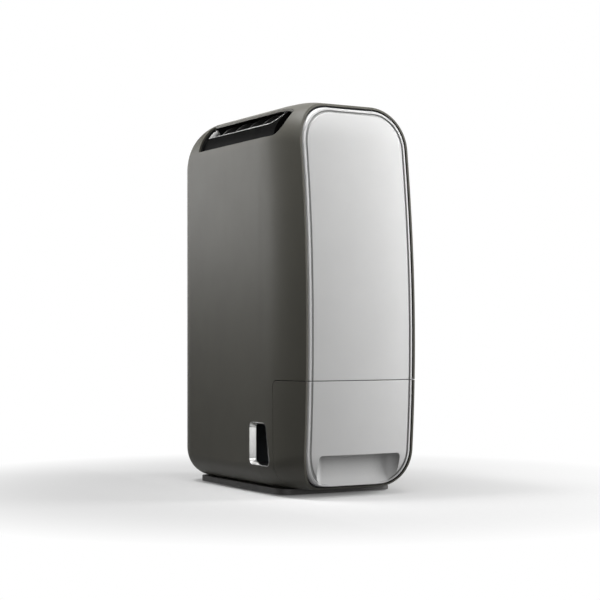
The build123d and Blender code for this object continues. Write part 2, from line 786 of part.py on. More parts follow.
# Float, hanging at its lowest place on a pin between the lugs of the tub
with BuildPart() as tank_float:
    rod("X", (LUG_Y, LUG_Z), (-LUG_X - FLOAT_LUG, LUG_X + FLOAT_LUG), FLOAT_PIN_R)
    dip = math.radians(FLOAT_DIP)
    tip = (LUG_Y - FLOAT_ARM * math.cos(dip), LUG_Z - FLOAT_ARM * math.sin(dip))
    with BuildSketch(Plane.YZ.offset(-FLOAT_LUG)):
        with Locations(Location(((LUG_Y + tip[0]) / 2, (LUG_Z + tip[1]) / 2, 0), (0, 0, FLOAT_DIP))):
            SlotCenterToCenter(FLOAT_ARM, 3 * FLOAT_PIN_R)
    extrude(amount=2 * FLOAT_LUG)
    with Locations((0, tip[0] - FLOAT_L / 2, tip[1])):
        Box(FLOAT_W, FLOAT_L, FLOAT_H)
save(tank_float, "tank_float")

# Flared frame of the water window
with BuildPart() as window_frame:
    extrude(window_sketch(-HALF, 0), amount=WINDOW_DEEP, dir=(1, 0, 0))
    loft(
        [window_sketch(-HALF - WINDOW_LIP, WINDOW_LIP / 2), window_sketch(WINDOW_DEEP - HALF, WINDOW_FLARE)],
        mode=Mode.SUBTRACT,
    )
save(window_frame, "window_frame")

# Outlet duct: floor, inner wall and two ends under the shoulder
DUCT_Y = (OUTLET_FRONT_Y - DUCT_END, OUTLET_BACK_Y + DUCT_END)
DUCT_IN = (DUCT_Y[0] + DUCT_T, DUCT_Y[1] - DUCT_T)
TONGUE = math.radians(TONGUE_ANGLE)
OUTFLOW_Y = (FAN_Y + SCROLL_R * math.cos(TONGUE), FAN_Y + SCROLL_R + SCROLL_GROW)
with BuildPart() as outlet_duct:
    add(INNER)
    block((-FAR, DUCT_X), DUCT_Y, (DUCT_FLOOR, HEIGHT), mode=Mode.INTERSECT)
    block((-FAR, DUCT_X - DUCT_T), DUCT_IN, (DUCT_FLOOR + DUCT_T, FAR), mode=Mode.SUBTRACT)
    block(
        (FAN_X + FAN_WALL, FAN_X + FAN_W),
        (OUTFLOW_Y[0] + FAN_WALL, OUTFLOW_Y[1] - FAN_WALL),
        (DUCT_FLOOR - DUCT_T, DUCT_FLOOR + 2 * DUCT_T),
        mode=Mode.SUBTRACT,
    )
    rod("Y", (PIVOT_X, PIVOT_Z), (DUCT_Y[0] - 1, DUCT_Y[1] + 1), FLAP_PIN_R + RUN_CLEAR, Mode.SUBTRACT)
save(outlet_duct, "outlet_duct")

VANE_R = FLAP_R - FLAP_T - 5 * MOVE_CLEAR
with BuildPart() as outlet_vanes:
    for k in range(VANE_COUNT):
        y = OUTLET_FRONT_Y + VANE_FIRST + VANE_PITCH * k
        rod("Y", (PIVOT_X, PIVOT_Z), (y, y + VANE_T), VANE_R)
    block((-FAR, DUCT_X - DUCT_T), DUCT_IN, (DUCT_FLOOR + DUCT_T, FAR), mode=Mode.INTERSECT)
    rod("Y", (PIVOT_X, PIVOT_Z), DUCT_IN, FLAP_PIN_R + MOVE_CLEAR, Mode.SUBTRACT)
save(outlet_vanes, "outlet_vanes")

# Visor flap: a curved blade between two sector cheeks on pins
FLAP_LOW_TURN = math.degrees(math.asin((OUTLET_LOW - FLAP_LAP - PIVOT_Z) / FLAP_R))
FLAP_TOP_TURN = math.degrees(math.asin((FLAP_TOP_Z - PIVOT_Z) / FLAP_R))
FLAP_Y = (OUTLET_FRONT_Y + FLAP_FRONT_SET, OUTLET_BACK_Y - FLAP_BACK_SET)


def flap_sector(y, inner_r, low_turn, high_turn):
    """Ring sector about the flap's pivot on an upright plane, turns measured up from -X."""
    with BuildSketch(Plane((PIVOT_X, y, PIVOT_Z), x_dir=(1, 0, 0), z_dir=(0, -1, 0))) as sector:
        with BuildLine():
            outer = CenterArc((0, 0), FLAP_R, 180 - low_turn, low_turn - high_turn)
            inner = CenterArc((0, 0), inner_r, 180 - low_turn, low_turn - high_turn)
            Line(outer @ 0, inner @ 0)
            Line(outer @ 1, inner @ 1)
        make_face()
    return sector.sketch


with BuildPart() as flap:
    blade = flap_sector(FLAP_Y[1], FLAP_R - FLAP_T, FLAP_LOW_TURN, FLAP_TOP_TURN)
    extrude(blade, amount=FLAP_Y[1] - FLAP_Y[0], dir=(0, -1, 0))
    for y in (FLAP_Y[0] + FLAP_T, FLAP_Y[1]):
        cheek = flap_sector(y, FLAP_HUB_R - FLAP_T, FLAP_LOW_TURN, 90 - OUTLET_HIGH_ANGLE)
        extrude(cheek, amount=FLAP_T, dir=(0, -1, 0))
        rod("Y", (PIVOT_X, PIVOT_Z), (y - FLAP_T, y), FLAP_HUB_R)
    rod("Y", (PIVOT_X, PIVOT_Z), (DUCT_Y[0], FLAP_Y[0]), FLAP_PIN_R)
    rod("Y", (PIVOT_X, PIVOT_Z), (FLAP_Y[1], DUCT_Y[1] - MOVE_CLEAR), FLAP_PIN_R)
save(flap, "flap")

with BuildPart() as flap_motor:
    rod("Y", (PIVOT_X, PIVOT_Z), (DUCT_Y[1], DUCT_Y[1] + FLAP_MOTOR_L), FLAP_MOTOR_R)
save(flap_motor, "flap_motor")

# Intake: fixed seat, then the pull-off grille with its filter
with BuildPart() as filter_seat:
    extrude(intake_sketch(HALF - WALL, SEAT_LAP), amount=-SEAT_T)
    extrude(intake_sketch(HALF, -SEAT_LEDGE), amount=-FAR, mode=Mode.SUBTRACT)
    add(INNER, mode=Mode.INTERSECT)
save(filter_seat, "filter_seat")

GRILLE_X = HALF - WALL + MOVE_CLEAR
GRILLE_ROWS = int((INTAKE_H - 2 * GRILLE_BORDER) / GRILLE_PITCH)
with BuildPart() as intake_grille:
    extrude(intake_sketch(GRILLE_X, -MOVE_CLEAR), amount=HALF - GRILLE_X)
    slot_w = (INTAKE_W - 2 * GRILLE_BORDER - GRILLE_RIB) / 2
    with BuildSketch(Plane.YZ.offset(HALF)):
        for side in (-1, 1):
            with Locations((INTAKE_Y + side * (slot_w + GRILLE_RIB) / 2, INTAKE_Z)):
                with GridLocations(slot_w, GRILLE_PITCH, 1, GRILLE_ROWS):
                    Rectangle(slot_w, GRILLE_PITCH - GRILLE_BAR)
    extrude(amount=-2 * WALL, mode=Mode.SUBTRACT)
save(intake_grille, "intake_grille")

FILTER_OUT = -SEAT_LEDGE - MOVE_CLEAR
with BuildPart() as filter_frame:
    extrude(intake_sketch(GRILLE_X, FILTER_OUT), amount=-FILTER_T)
    extrude(intake_sketch(HALF, FILTER_OUT - FILTER_RING), amount=-FAR, mode=Mode.SUBTRACT)
save(filter_frame, "filter_frame")

with BuildPart() as filter_mesh:
    extrude(intake_sketch(GRILLE_X - FILTER_T / 2, FILTER_OUT - FILTER_RING), amount=-MESH_T)
save(filter_mesh, "filter_mesh")

# Condenser: lower and upper headers with flat tubes between
COND_PITCH = COND_W / COND_TUBES
with BuildPart() as condenser_headers:
    for z in (DECK_TOP, COND_TOP - COND_HEAD):
        block(
            (COND_X, COND_X + COND_T),
            (INTAKE_Y - COND_W / 2, INTAKE_Y + COND_W / 2),
            (z, z + COND_HEAD),
        )
    fillet(condenser_headers.edges().filter_by(Axis.X), COND_HEAD / 5)
save(condenser_headers, "condenser_headers")

with BuildPart() as condenser_tubes:
    with BuildSketch(Plane.XY.offset(DECK_TOP + COND_HEAD)):
        with Locations((COND_X + COND_T / 2, INTAKE_Y)):
            with GridLocations(COND_T, COND_PITCH, 1, COND_TUBES):
                Rectangle(COND_TUBE_T, COND_TUBE_W)
    extrude(amount=COND_TOP - DECK_TOP - 2 * COND_HEAD)
save(condenser_tubes, "condenser_tubes")

# Desiccant rotor with its toothed rim, hub and fixed axle
TIP_R = GEAR_MODULE * (ROTOR_TEETH / 2 + TOOTH_TIP)
PINION_TIP_R = GEAR_MODULE * (PINION_TEETH / 2 + TOOTH_TIP)
CAVITY_R = TIP_R + HOUSING_GAP
ROTOR_X = HOUSING_X + ROTOR_SET
RIM_X = ROTOR_X + (ROTOR_T - RIM_T) / 2
REACH = GEAR_MODULE * (ROTOR_TEETH + PINION_TEETH) / 2
PINION_AT = (
    INTAKE_Y + REACH * math.cos(math.radians(PINION_ANGLE)),
    INTAKE_Z + REACH * math.sin(math.radians(PINION_ANGLE)),
)


def toothed_face(teeth, turn):
    """Closed outline of a spur gear about the origin, one tooth centred on a turn."""
    tip = GEAR_MODULE * (teeth / 2 + TOOTH_TIP)
    root = GEAR_MODULE * (teeth / 2 - TOOTH_ROOT)
    step = 2 * math.pi / teeth
    corners = ((-ROOT_SHARE / 2, root), (-TIP_SHARE / 2, tip), (TIP_SHARE / 2, tip), (ROOT_SHARE / 2, root))
    points = []
    for k in range(teeth):
        for share, radius in corners:
            angle = math.radians(turn) + step * (k + share)
            points.append((radius * math.cos(angle), radius * math.sin(angle)))
    return points


def gear(teeth, turn, centre, x, width, bore):
    """Spur gear along X with a bore."""
    with BuildPart() as wheel:
        with BuildSketch(Plane((x, *centre), x_dir=(0, 1, 0), z_dir=(1, 0, 0))):
            with BuildLine():
                Polyline(toothed_face(teeth, turn), close=True)
            make_face()
            Circle(bore, mode=Mode.SUBTRACT)
        extrude(amount=width)
    return wheel.part


with BuildPart() as rotor_gear:
    add(gear(ROTOR_TEETH, PINION_ANGLE, (INTAKE_Y, INTAKE_Z), RIM_X, RIM_T, ROTOR_R))
save(rotor_gear, "rotor_gear")

with BuildPart() as desiccant_rotor:
    rod("X", (INTAKE_Y, INTAKE_Z), (ROTOR_X, ROTOR_X + ROTOR_T), ROTOR_R)
    rod("X", (INTAKE_Y, INTAKE_Z), (ROTOR_X, ROTOR_X + ROTOR_T), HUB_R, Mode.SUBTRACT)
save(desiccant_rotor, "desiccant_rotor")

with BuildPart() as rotor_hub:
    rod("X", (INTAKE_Y, INTAKE_Z), (HOUSING_X + HOUSING_FACE + MOVE_CLEAR, ROTOR_X + ROTOR_T), HUB_R)
    rod("X", (INTAKE_Y, INTAKE_Z), (0, FAR), AXLE_R + RUN_CLEAR, Mode.SUBTRACT)
save(rotor_hub, "rotor_hub")

with BuildPart() as rotor_axle:
    rod("X", (INTAKE_Y, INTAKE_Z), (HOUSING_X, HOUSING_X + HOUSING_T), AXLE_R)
save(rotor_axle, "rotor_axle")

with BuildPart() as rotor_housing:
    half = CAVITY_R + HOUSING_SIDE
    block(
        (HOUSING_X, HOUSING_X + HOUSING_T),
        (INTAKE_Y - half, INTAKE_Y + half),
        (DECK_TOP, INTAKE_Z + half),
    )
    inner_x = (HOUSING_X + HOUSING_FACE, FAR)
    rod("X", (INTAKE_Y, INTAKE_Z), inner_x, CAVITY_R, Mode.SUBTRACT)
    rod("X", PINION_AT, inner_x, PINION_TIP_R + HOUSING_GAP, Mode.SUBTRACT)
    rod("X", (INTAKE_Y, INTAKE_Z), (-FAR, FAR), ROTOR_R - HOUSING_LIP, Mode.SUBTRACT)
    rod("X", PINION_AT, (-FAR, FAR), 2 * SHAFT_R, Mode.SUBTRACT)
    for turn in (90, 90 + HEATER_SPAN, 90 + HEATER_SPAN + (360 - HEATER_SPAN) / 2):
        angle = math.radians(turn)
        mid = ROTOR_R / 2
        spot = (HOUSING_X + HOUSING_FACE / 2, INTAKE_Y + mid * math.cos(angle), INTAKE_Z + mid * math.sin(angle))
        with Locations(Location(spot, (turn, 0, 0))):
            Box(HOUSING_FACE, ROTOR_R, SPOKE_W)
    rod("X", (INTAKE_Y, INTAKE_Z), (HOUSING_X, HOUSING_X + HOUSING_FACE), HUB_R)
    rod("X", (INTAKE_Y, INTAKE_Z), (0, FAR), AXLE_R, Mode.SUBTRACT)
save(rotor_housing, "rotor_housing")

with BuildPart() as drive_pinion:
    turn = 180 + PINION_ANGLE + 180 / PINION_TEETH
    add(gear(PINION_TEETH, turn, PINION_AT, RIM_X, RIM_T, SHAFT_R + RUN_CLEAR))
save(drive_pinion, "drive_pinion")

with BuildPart() as rotor_motor:
    rod("X", PINION_AT, (HOUSING_X - ROTOR_MOTOR_L, HOUSING_X), ROTOR_MOTOR_R)
    rod("X", PINION_AT, (HOUSING_X, RIM_X + RIM_T), SHAFT_R)
save(rotor_motor, "rotor_motor")

# Heater: a sector box over part of the rotor, with fins, fed by a small blower
def heater_sector(x, shrink):
    """Sector outline of the heater on an upright plane, drawn in by an amount."""
    with BuildSketch(Plane((x, INTAKE_Y, INTAKE_Z), x_dir=(0, 1, 0), z_dir=(1, 0, 0))) as sector:
        with BuildLine():
            outer = CenterArc((0, 0), HEATER_OUT_R, 90, HEATER_SPAN)
            inner = CenterArc((0, 0), HEATER_IN_R, 90, HEATER_SPAN)
            Line(outer @ 0, inner @ 0)
            Line(outer @ 1, inner @ 1)
        make_face()
        if shrink:
            offset(amount=-shrink, mode=Mode.REPLACE)
    return sector.sketch


HEATER_X = HOUSING_X - HEATER_T
REGEN_DUCT_Z = (REGEN_Z + REGEN_R - REGEN_DUCT_H, REGEN_Z + REGEN_R)
with BuildPart() as heater_box:
    extrude(heater_sector(HEATER_X, 0), amount=HEATER_T, dir=(1, 0, 0))
    hollow = heater_sector(HEATER_X + HEATER_WALL, HEATER_WALL)
    extrude(hollow, amount=HEATER_T, dir=(1, 0, 0), mode=Mode.SUBTRACT)
    block(
        (HEATER_X + 2 * HEATER_WALL, HOUSING_X - 2 * HEATER_WALL),
        (INTAKE_Y - 2 * HEATER_WALL, INTAKE_Y + HEATER_WALL),
        (REGEN_DUCT_Z[0] + REGEN_WALL, REGEN_DUCT_Z[1] - REGEN_WALL),
        mode=Mode.SUBTRACT,
    )
save(heater_box, "heater_box")

with BuildPart() as heater_fins:
    span = HEATER_OUT_R - HEATER_IN_R
    mid = (HEATER_OUT_R + HEATER_IN_R) / 2
    for k in range(HEATER_FINS):
        turn = 90 + HEATER_SPAN * (k + 1) / (HEATER_FINS + 1)
        angle = math.radians(turn)
        spot = (
            HEATER_X + HEATER_WALL + HEATER_FIN_D / 2,
            INTAKE_Y + mid * math.cos(angle),
            INTAKE_Z + mid * math.sin(angle),
        )
        with Locations(Location(spot, (turn, 0, 0))):
            Box(HEATER_FIN_D, span, HEATER_FIN_T)
    extrude(heater_sector(HEATER_X, HEATER_WALL), amount=HEATER_T, dir=(1, 0, 0), mode=Mode.INTERSECT)
save(heater_fins, "heater_fins")


def blower_sketch(x, shrink):
    """Round blower outline with its straight outlet towards the heater, drawn in by a wall."""
    with BuildSketch(Plane.YZ.offset(x)) as outline:
        with Locations((REGEN_Y, REGEN_Z)):
            Circle(REGEN_R - shrink)
        with Locations(((INTAKE_Y + REGEN_Y) / 2, sum(REGEN_DUCT_Z) / 2)):
            Rectangle(REGEN_Y - INTAKE_Y, REGEN_DUCT_H - 2 * shrink)
    return outline.sketch


REGEN_X = HOUSING_X - REGEN_T
with BuildPart() as regen_scroll:
    extrude(blower_sketch(REGEN_X, 0), amount=REGEN_T)
    extrude(blower_sketch(REGEN_X + REGEN_WALL, REGEN_WALL), amount=REGEN_T - 2 * REGEN_WALL, mode=Mode.SUBTRACT)
    rod("X", (REGEN_Y, REGEN_Z), (REGEN_X - 1, REGEN_X + REGEN_WALL), SHAFT_R + MOVE_CLEAR, Mode.SUBTRACT)
save(regen_scroll, "regen_scroll")


def blower_wheel(centre, x, width, outer_r, inner_r, hub_r, blades, plate_x):
    """Drum wheel along X: hub and back plate, leaning blades and two end rings."""
    with BuildPart() as wheel:
        rod("X", centre, (plate_x, plate_x + WHEEL_PLATE), outer_r)
        rod("X", centre, (plate_x - hub_r, plate_x + hub_r), hub_r)
        mid_r = (outer_r + inner_r) / 2
        depth = outer_r - inner_r - BLADE_SET
        for k in range(blades):
            turn = 360.0 * k / blades
            angle = math.radians(turn)
            spot = (x + width / 2, centre[0] + mid_r * math.cos(angle), centre[1] + mid_r * math.sin(angle))
            with Locations(Location(spot, (turn + BLADE_LEAN, 0, 0))):
                Box(width, depth, BLADE_T)
        for ring_x in (x, x + width - WHEEL_PLATE):
            with BuildSketch(Plane.YZ.offset(ring_x)):
                with Locations(centre):
                    Circle(outer_r)
                    Circle(inner_r, mode=Mode.SUBTRACT)
            extrude(amount=WHEEL_PLATE)
        rod("X", centre, (x - FAR, x + FAR), SHAFT_R + RUN_CLEAR, Mode.SUBTRACT)
    return wheel.part


REGEN_WHEEL_W = REGEN_T - 2 * REGEN_WALL - 8 * MOVE_CLEAR
REGEN_WHEEL_X = REGEN_X + REGEN_WALL + 4 * MOVE_CLEAR
with BuildPart() as regen_wheel:
    add(
        blower_wheel(
            (REGEN_Y, REGEN_Z),
            REGEN_WHEEL_X,
            REGEN_WHEEL_W,
            REGEN_WHEEL_R,
            REGEN_WHEEL_IN_R,
            2 * SHAFT_R,
            REGEN_BLADES,
            REGEN_WHEEL_X + REGEN_WHEEL_W / 2,
        )
    )
save(regen_wheel, "regen_wheel")

with BuildPart() as regen_motor:
    rod("X", (REGEN_Y, REGEN_Z), (REGEN_X - REGEN_MOTOR_L, REGEN_X), REGEN_MOTOR_R)
    rod("X", (REGEN_Y, REGEN_Z), (REGEN_X, REGEN_WHEEL_X + REGEN_WHEEL_W), SHAFT_R)
save(regen_motor, "regen_motor")

# Main fan: volute, cover with the inlet, drum wheel on its motor
def volute_sketch(x, shrink):
    """Volute outline with its upward outlet, drawn in by a wall."""
    with BuildSketch(Plane.YZ.offset(x)) as outline:
        with BuildLine():
            turns = [TONGUE_ANGLE + (360 - TONGUE_ANGLE) * k / 10 for k in range(11)]
            points = []
            for turn in turns:
                radius = SCROLL_R - shrink + SCROLL_GROW * (turn - TONGUE_ANGLE) / (360 - TONGUE_ANGLE)
                angle = math.radians(turn)
                points.append((FAN_Y + radius * math.cos(angle), FAN_Z + radius * math.sin(angle)))
            Spline(*points)
            mouth_y = OUTFLOW_Y[0] + shrink
            corners = [points[-1], (points[-1][0], DUCT_FLOOR), (mouth_y, DUCT_FLOOR)]
            if shrink:
                corners.append((mouth_y, FAN_Z + SCROLL_R * math.sin(TONGUE)))
            Polyline(*corners, points[0])
        make_face()
    return outline.sketch


COVER_X = FAN_X + FAN_W
with BuildPart() as fan_scroll:
    extrude(volute_sketch(FAN_X, 0), amount=FAN_W, dir=(1, 0, 0))
    block(
        (FAN_X + FAN_WALL, COVER_X),
        (OUTFLOW_Y[0] + FAN_WALL, OUTFLOW_Y[1] - FAN_WALL),
        (DUCT_FLOOR - 2 * FAN_WALL, DUCT_FLOOR + FAN_WALL),
        mode=Mode.SUBTRACT,
    )
    low = FAN_Z - SCROLL_R - SCROLL_GROW
    for y in (FAN_Y - FAN_MOTOR_R - FAN_FOOT, FAN_Y + FAN_MOTOR_R):
        block((FAN_X, COVER_X), (y, y + FAN_FOOT), (DECK_TOP, low + SCROLL_GROW))
    extrude(volute_sketch(FAN_X + FAN_WALL, FAN_WALL), amount=FAN_W, dir=(1, 0, 0), mode=Mode.SUBTRACT)
save(fan_scroll, "fan_scroll")

with BuildPart() as fan_cover:
    extrude(volute_sketch(COVER_X, 0), amount=FAN_WALL, dir=(1, 0, 0))
    rod("X", (FAN_Y, FAN_Z), (COVER_X, COVER_X + FAN_WALL + BELL_H), INLET_R + FAN_WALL)
    rod("X", (FAN_Y, FAN_Z), (-FAR, FAR), INLET_R, Mode.SUBTRACT)
save(fan_cover, "fan_cover")

WHEEL_X = FAN_X + (FAN_W + FAN_WALL - WHEEL_W) / 2
WHEEL_PLATE_X = FAN_X + FAN_WALL + FAN_MOTOR_L + WHEEL_HUB_R + 5 * MOVE_CLEAR
with BuildPart() as fan_wheel:
    add(
        blower_wheel(
            (FAN_Y, FAN_Z), WHEEL_X, WHEEL_W, WHEEL_R, WHEEL_IN_R, WHEEL_HUB_R, BLADES, WHEEL_PLATE_X
        )
    )
save(fan_wheel, "fan_wheel")

with BuildPart() as fan_motor:
    rod("X", (FAN_Y, FAN_Z), (FAN_X + FAN_WALL, FAN_X + FAN_WALL + FAN_MOTOR_L), FAN_MOTOR_R)
    rod("X", (FAN_Y, FAN_Z), (FAN_X + FAN_WALL, WHEEL_PLATE_X + WHEEL_HUB_R), SHAFT_R)
    fillet(fan_motor.edges().filter_by(GeomType.CIRCLE).group_by(SortBy.RADIUS)[-1], FAN_WALL / 2)
save(fan_motor, "fan_motor")

# Controls: panel seated from below in the top, sprung buttons, light strip, key board
PANEL_TOP = HEIGHT - CONTROL_SINK
PANEL_UNDER = HEIGHT - WALL - CONTROL_LAP_T
BUTTON_X = [CONTROL_X + BUTTON_PITCH * (k - (len(BUTTONS) - 1) / 2) for k in range(len(BUTTONS))]
BUTTON_Y = CONTROL_Y + BUTTON_ROW
BOARD_Z = PANEL_UNDER - BOARD_DROP
with BuildPart() as control_panel:
    extrude(control_sketch(PANEL_UNDER, -SEAT_CLEAR), amount=PANEL_TOP - PANEL_UNDER)
    extrude(control_sketch(PANEL_UNDER, CONTROL_LAP), amount=CONTROL_LAP_T)
    for x in BUTTON_X:
        rod("Z", (x, BUTTON_Y), (0, FAR), BUTTON_R + MOVE_CLEAR, Mode.SUBTRACT)
    with BuildSketch(Plane.XY.offset(PANEL_TOP)):
        with Locations((CONTROL_X, CONTROL_Y + LENS_ROW)):
            SlotOverall(LENS_L, LENS_W)
    extrude(amount=-FAR, mode=Mode.SUBTRACT)
    for x in (-1, 1):
        for y in (-1, 1):
            spot = (CONTROL_X + x * (CONTROL_L / 2 - CONTROL_R), CONTROL_Y + y * (CONTROL_W / 2 - STANDOFF_R))
            rod("Z", spot, (BOARD_Z, PANEL_UNDER), STANDOFF_R)
save(control_panel, "control_panel")

with BuildPart() as indicator_lens:
    with BuildSketch(Plane.XY.offset(PANEL_UNDER)):
        with Locations((CONTROL_X, CONTROL_Y + LENS_ROW)):
            SlotOverall(LENS_L, LENS_W)
    extrude(amount=PANEL_TOP - PANEL_UNDER)
save(indicator_lens, "indicator_lens")

for word, x in zip(BUTTONS, BUTTON_X):
    with BuildPart() as button:
        flange_z = PANEL_UNDER - MOVE_CLEAR - BUTTON_FLANGE_T
        rod("Z", (x, BUTTON_Y), (flange_z, PANEL_TOP + BUTTON_PROUD), BUTTON_R)
        rod("Z", (x, BUTTON_Y), (flange_z, flange_z + BUTTON_FLANGE_T), BUTTON_R + BUTTON_FLANGE)
        fillet(button.edges().group_by(Axis.Z)[-1], BUTTON_PROUD / 2)
    save(button, f"{word}_button")

with BuildPart() as key_board:
    extrude(control_sketch(BOARD_Z, 0), amount=-BOARD_T)
    reach = PANEL_UNDER - MOVE_CLEAR - BUTTON_FLANGE_T - BUTTON_TRAVEL - MOVE_CLEAR
    for x in BUTTON_X:
        block(
            (x - KEY_SWITCH / 2, x + KEY_SWITCH / 2),
            (BUTTON_Y - KEY_SWITCH / 2, BUTTON_Y + KEY_SWITCH / 2),
            (BOARD_Z, reach),
        )
save(key_board, "key_board")

# Rear electrics: power board on standoffs, its parts, inlet gland, level switch, humidity sensor
BOARD_Y = REAR_WALL_Y + REAR_WALL_T + STANDOFF_H
with BuildPart() as power_board:
    block(
        (-POWER_BOARD_W / 2, POWER_BOARD_W / 2),
        (BOARD_Y, BOARD_Y + BOARD_T),
        (POWER_BOARD_Z, POWER_BOARD_Z + POWER_BOARD_H),
    )
    for x in (-1, 1):
        for z in (POWER_BOARD_Z + 2 * STANDOFF_R, POWER_BOARD_Z + POWER_BOARD_H - 2 * STANDOFF_R):
            spot = (x * (POWER_BOARD_W / 2 - 2 * STANDOFF_R), z)
            rod("Y", spot, (REAR_WALL_Y + REAR_WALL_T, BOARD_Y), STANDOFF_R)
save(power_board, "power_board")

with BuildPart() as board_parts:
    face = BOARD_Y + BOARD_T
    mid_z = POWER_BOARD_Z + POWER_BOARD_H / 2
    block((-POWER_BOARD_W / 4, 0), (face, face + 3 * STANDOFF_H), (mid_z, mid_z + 4 * STANDOFF_H))
    block((STANDOFF_H, 4 * STANDOFF_H), (face, face + 2 * STANDOFF_H), (mid_z, mid_z + 2 * STANDOFF_H))
    for x in (-4 * STANDOFF_H, -2 * STANDOFF_H, STANDOFF_H):
        rod("Y", (x, mid_z - 2 * STANDOFF_H), (face, face + 3 * STANDOFF_H), CAPACITOR_R)
save(board_parts, "board_parts")

with BuildPart() as cord_gland:
    rod("Y", (GLAND_X, GLAND_Z), (BACK_Y - GLAND_L, BACK_Y), GLAND_R)
    rod("Y", (GLAND_X, GLAND_Z), (BACK_Y - GLAND_L, BACK_Y - WALL), GLAND_FLANGE_R)
    rod("Y", (GLAND_X, GLAND_Z), (0, FAR), GLAND_BORE, Mode.SUBTRACT)
save(cord_gland, "cord_gland")

with BuildPart() as level_switch:
    block(
        (-SWITCH_W / 2, SWITCH_W / 2),
        (REAR_WALL_Y - SWITCH_T, REAR_WALL_Y),
        (LUG_Z - SWITCH_H / 2, LUG_Z + SWITCH_H / 2),
    )
    fillet(level_switch.edges().filter_by(Axis.Y), SWITCH_T / 2)
save(level_switch, "level_switch")

with BuildPart() as humidity_sensor:
    face_y = INTAKE_Y - CAVITY_R - HOUSING_SIDE
    block(
        (HOUSING_X, HOUSING_X + SENSOR_W),
        (face_y - SENSOR_T, face_y),
        (INTAKE_Z, INTAKE_Z + SENSOR_H),
    )
    with BuildSketch(Plane.XZ.offset(SENSOR_T - face_y)):
        with Locations((HOUSING_X + SENSOR_W / 2, INTAKE_Z + SENSOR_H / 2)):
            with GridLocations(SENSOR_W, SENSOR_H / 6, 1, 4):
                Rectangle(SENSOR_W / 2, SENSOR_H / 15)
    extrude(amount=-SENSOR_T / 4, mode=Mode.SUBTRACT)
save(humidity_sensor, "humidity_sensor")
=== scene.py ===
"""Looks of a slim desiccant dehumidifier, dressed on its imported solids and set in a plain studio."""

import logging
import math
from abc import ABC, abstractmethod
from dataclasses import dataclass, field
from enum import Enum
from typing import Any, Sequence

import bmesh
import bpy
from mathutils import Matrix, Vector


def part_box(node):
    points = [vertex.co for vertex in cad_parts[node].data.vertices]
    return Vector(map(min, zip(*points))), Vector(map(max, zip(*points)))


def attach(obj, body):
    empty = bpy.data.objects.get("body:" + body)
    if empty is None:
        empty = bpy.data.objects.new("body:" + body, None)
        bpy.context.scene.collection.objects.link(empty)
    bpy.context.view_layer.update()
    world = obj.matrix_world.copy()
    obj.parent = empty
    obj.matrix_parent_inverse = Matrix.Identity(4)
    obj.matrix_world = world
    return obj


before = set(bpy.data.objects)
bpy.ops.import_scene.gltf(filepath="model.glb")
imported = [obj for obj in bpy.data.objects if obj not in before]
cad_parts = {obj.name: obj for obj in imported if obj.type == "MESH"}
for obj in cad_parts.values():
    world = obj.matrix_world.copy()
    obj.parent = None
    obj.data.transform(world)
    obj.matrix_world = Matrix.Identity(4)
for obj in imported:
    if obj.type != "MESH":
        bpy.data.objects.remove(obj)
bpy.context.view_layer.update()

log = logging.getLogger("dehumidifier")

Colour = tuple[float, float, float]
Paint = tuple[float, float, float, float]
Point = tuple[float, float, float]
Span = tuple[float, float]

UNIT: Span = (0.0, 1.0)
UNIT_DOWN: Span = (1.0, 0.0)
NOISE_BODY: Span = (0.3, 0.7)
FULL_TURN: Span = (0.0, 360.0)

# Section of a raised band, as shares of its width and height.
BAND_PROFILE = ((-0.5, 0.0), (-0.4, 1.0), (0.4, 1.0), (0.5, 0.0))
BAND_STEPS = 32
BAR_BEVEL = 0.1
BEAD_SIDES = 8
# A way that no bead runs along, to set its section by.
BEAD_ACROSS: Point = (1.0, 0.0, 1.0)


class Socket(Enum):
    """Kinds of socket on a node group."""

    VALUE = "NodeSocketFloat"
    VECTOR = "NodeSocketVector"


class Body(Enum):
    """Bodies of the appliance that pieces ride on."""

    FLAP = "outlet_flap"
    POWER = "power_key"
    MODE = "mode_key"
    TIMER = "timer_key"
    SWING = "swing_key"


class Sign(Enum):
    """Plain signs raised on the keys."""

    RING_AND_BAR = "ring_and_bar"
    DROP = "drop"
    CLOCK = "clock"
    WAVES = "waves"


def grey(level: float) -> Colour:
    """Neutral colour of one level."""
    return (level, level, level)


def tint(colour: Colour, factor: float = 1.0) -> Paint:
    """The colour with full alpha, made lighter or darker, at most white."""
    return (*(min(1.0, channel * factor) for channel in colour), 1.0)


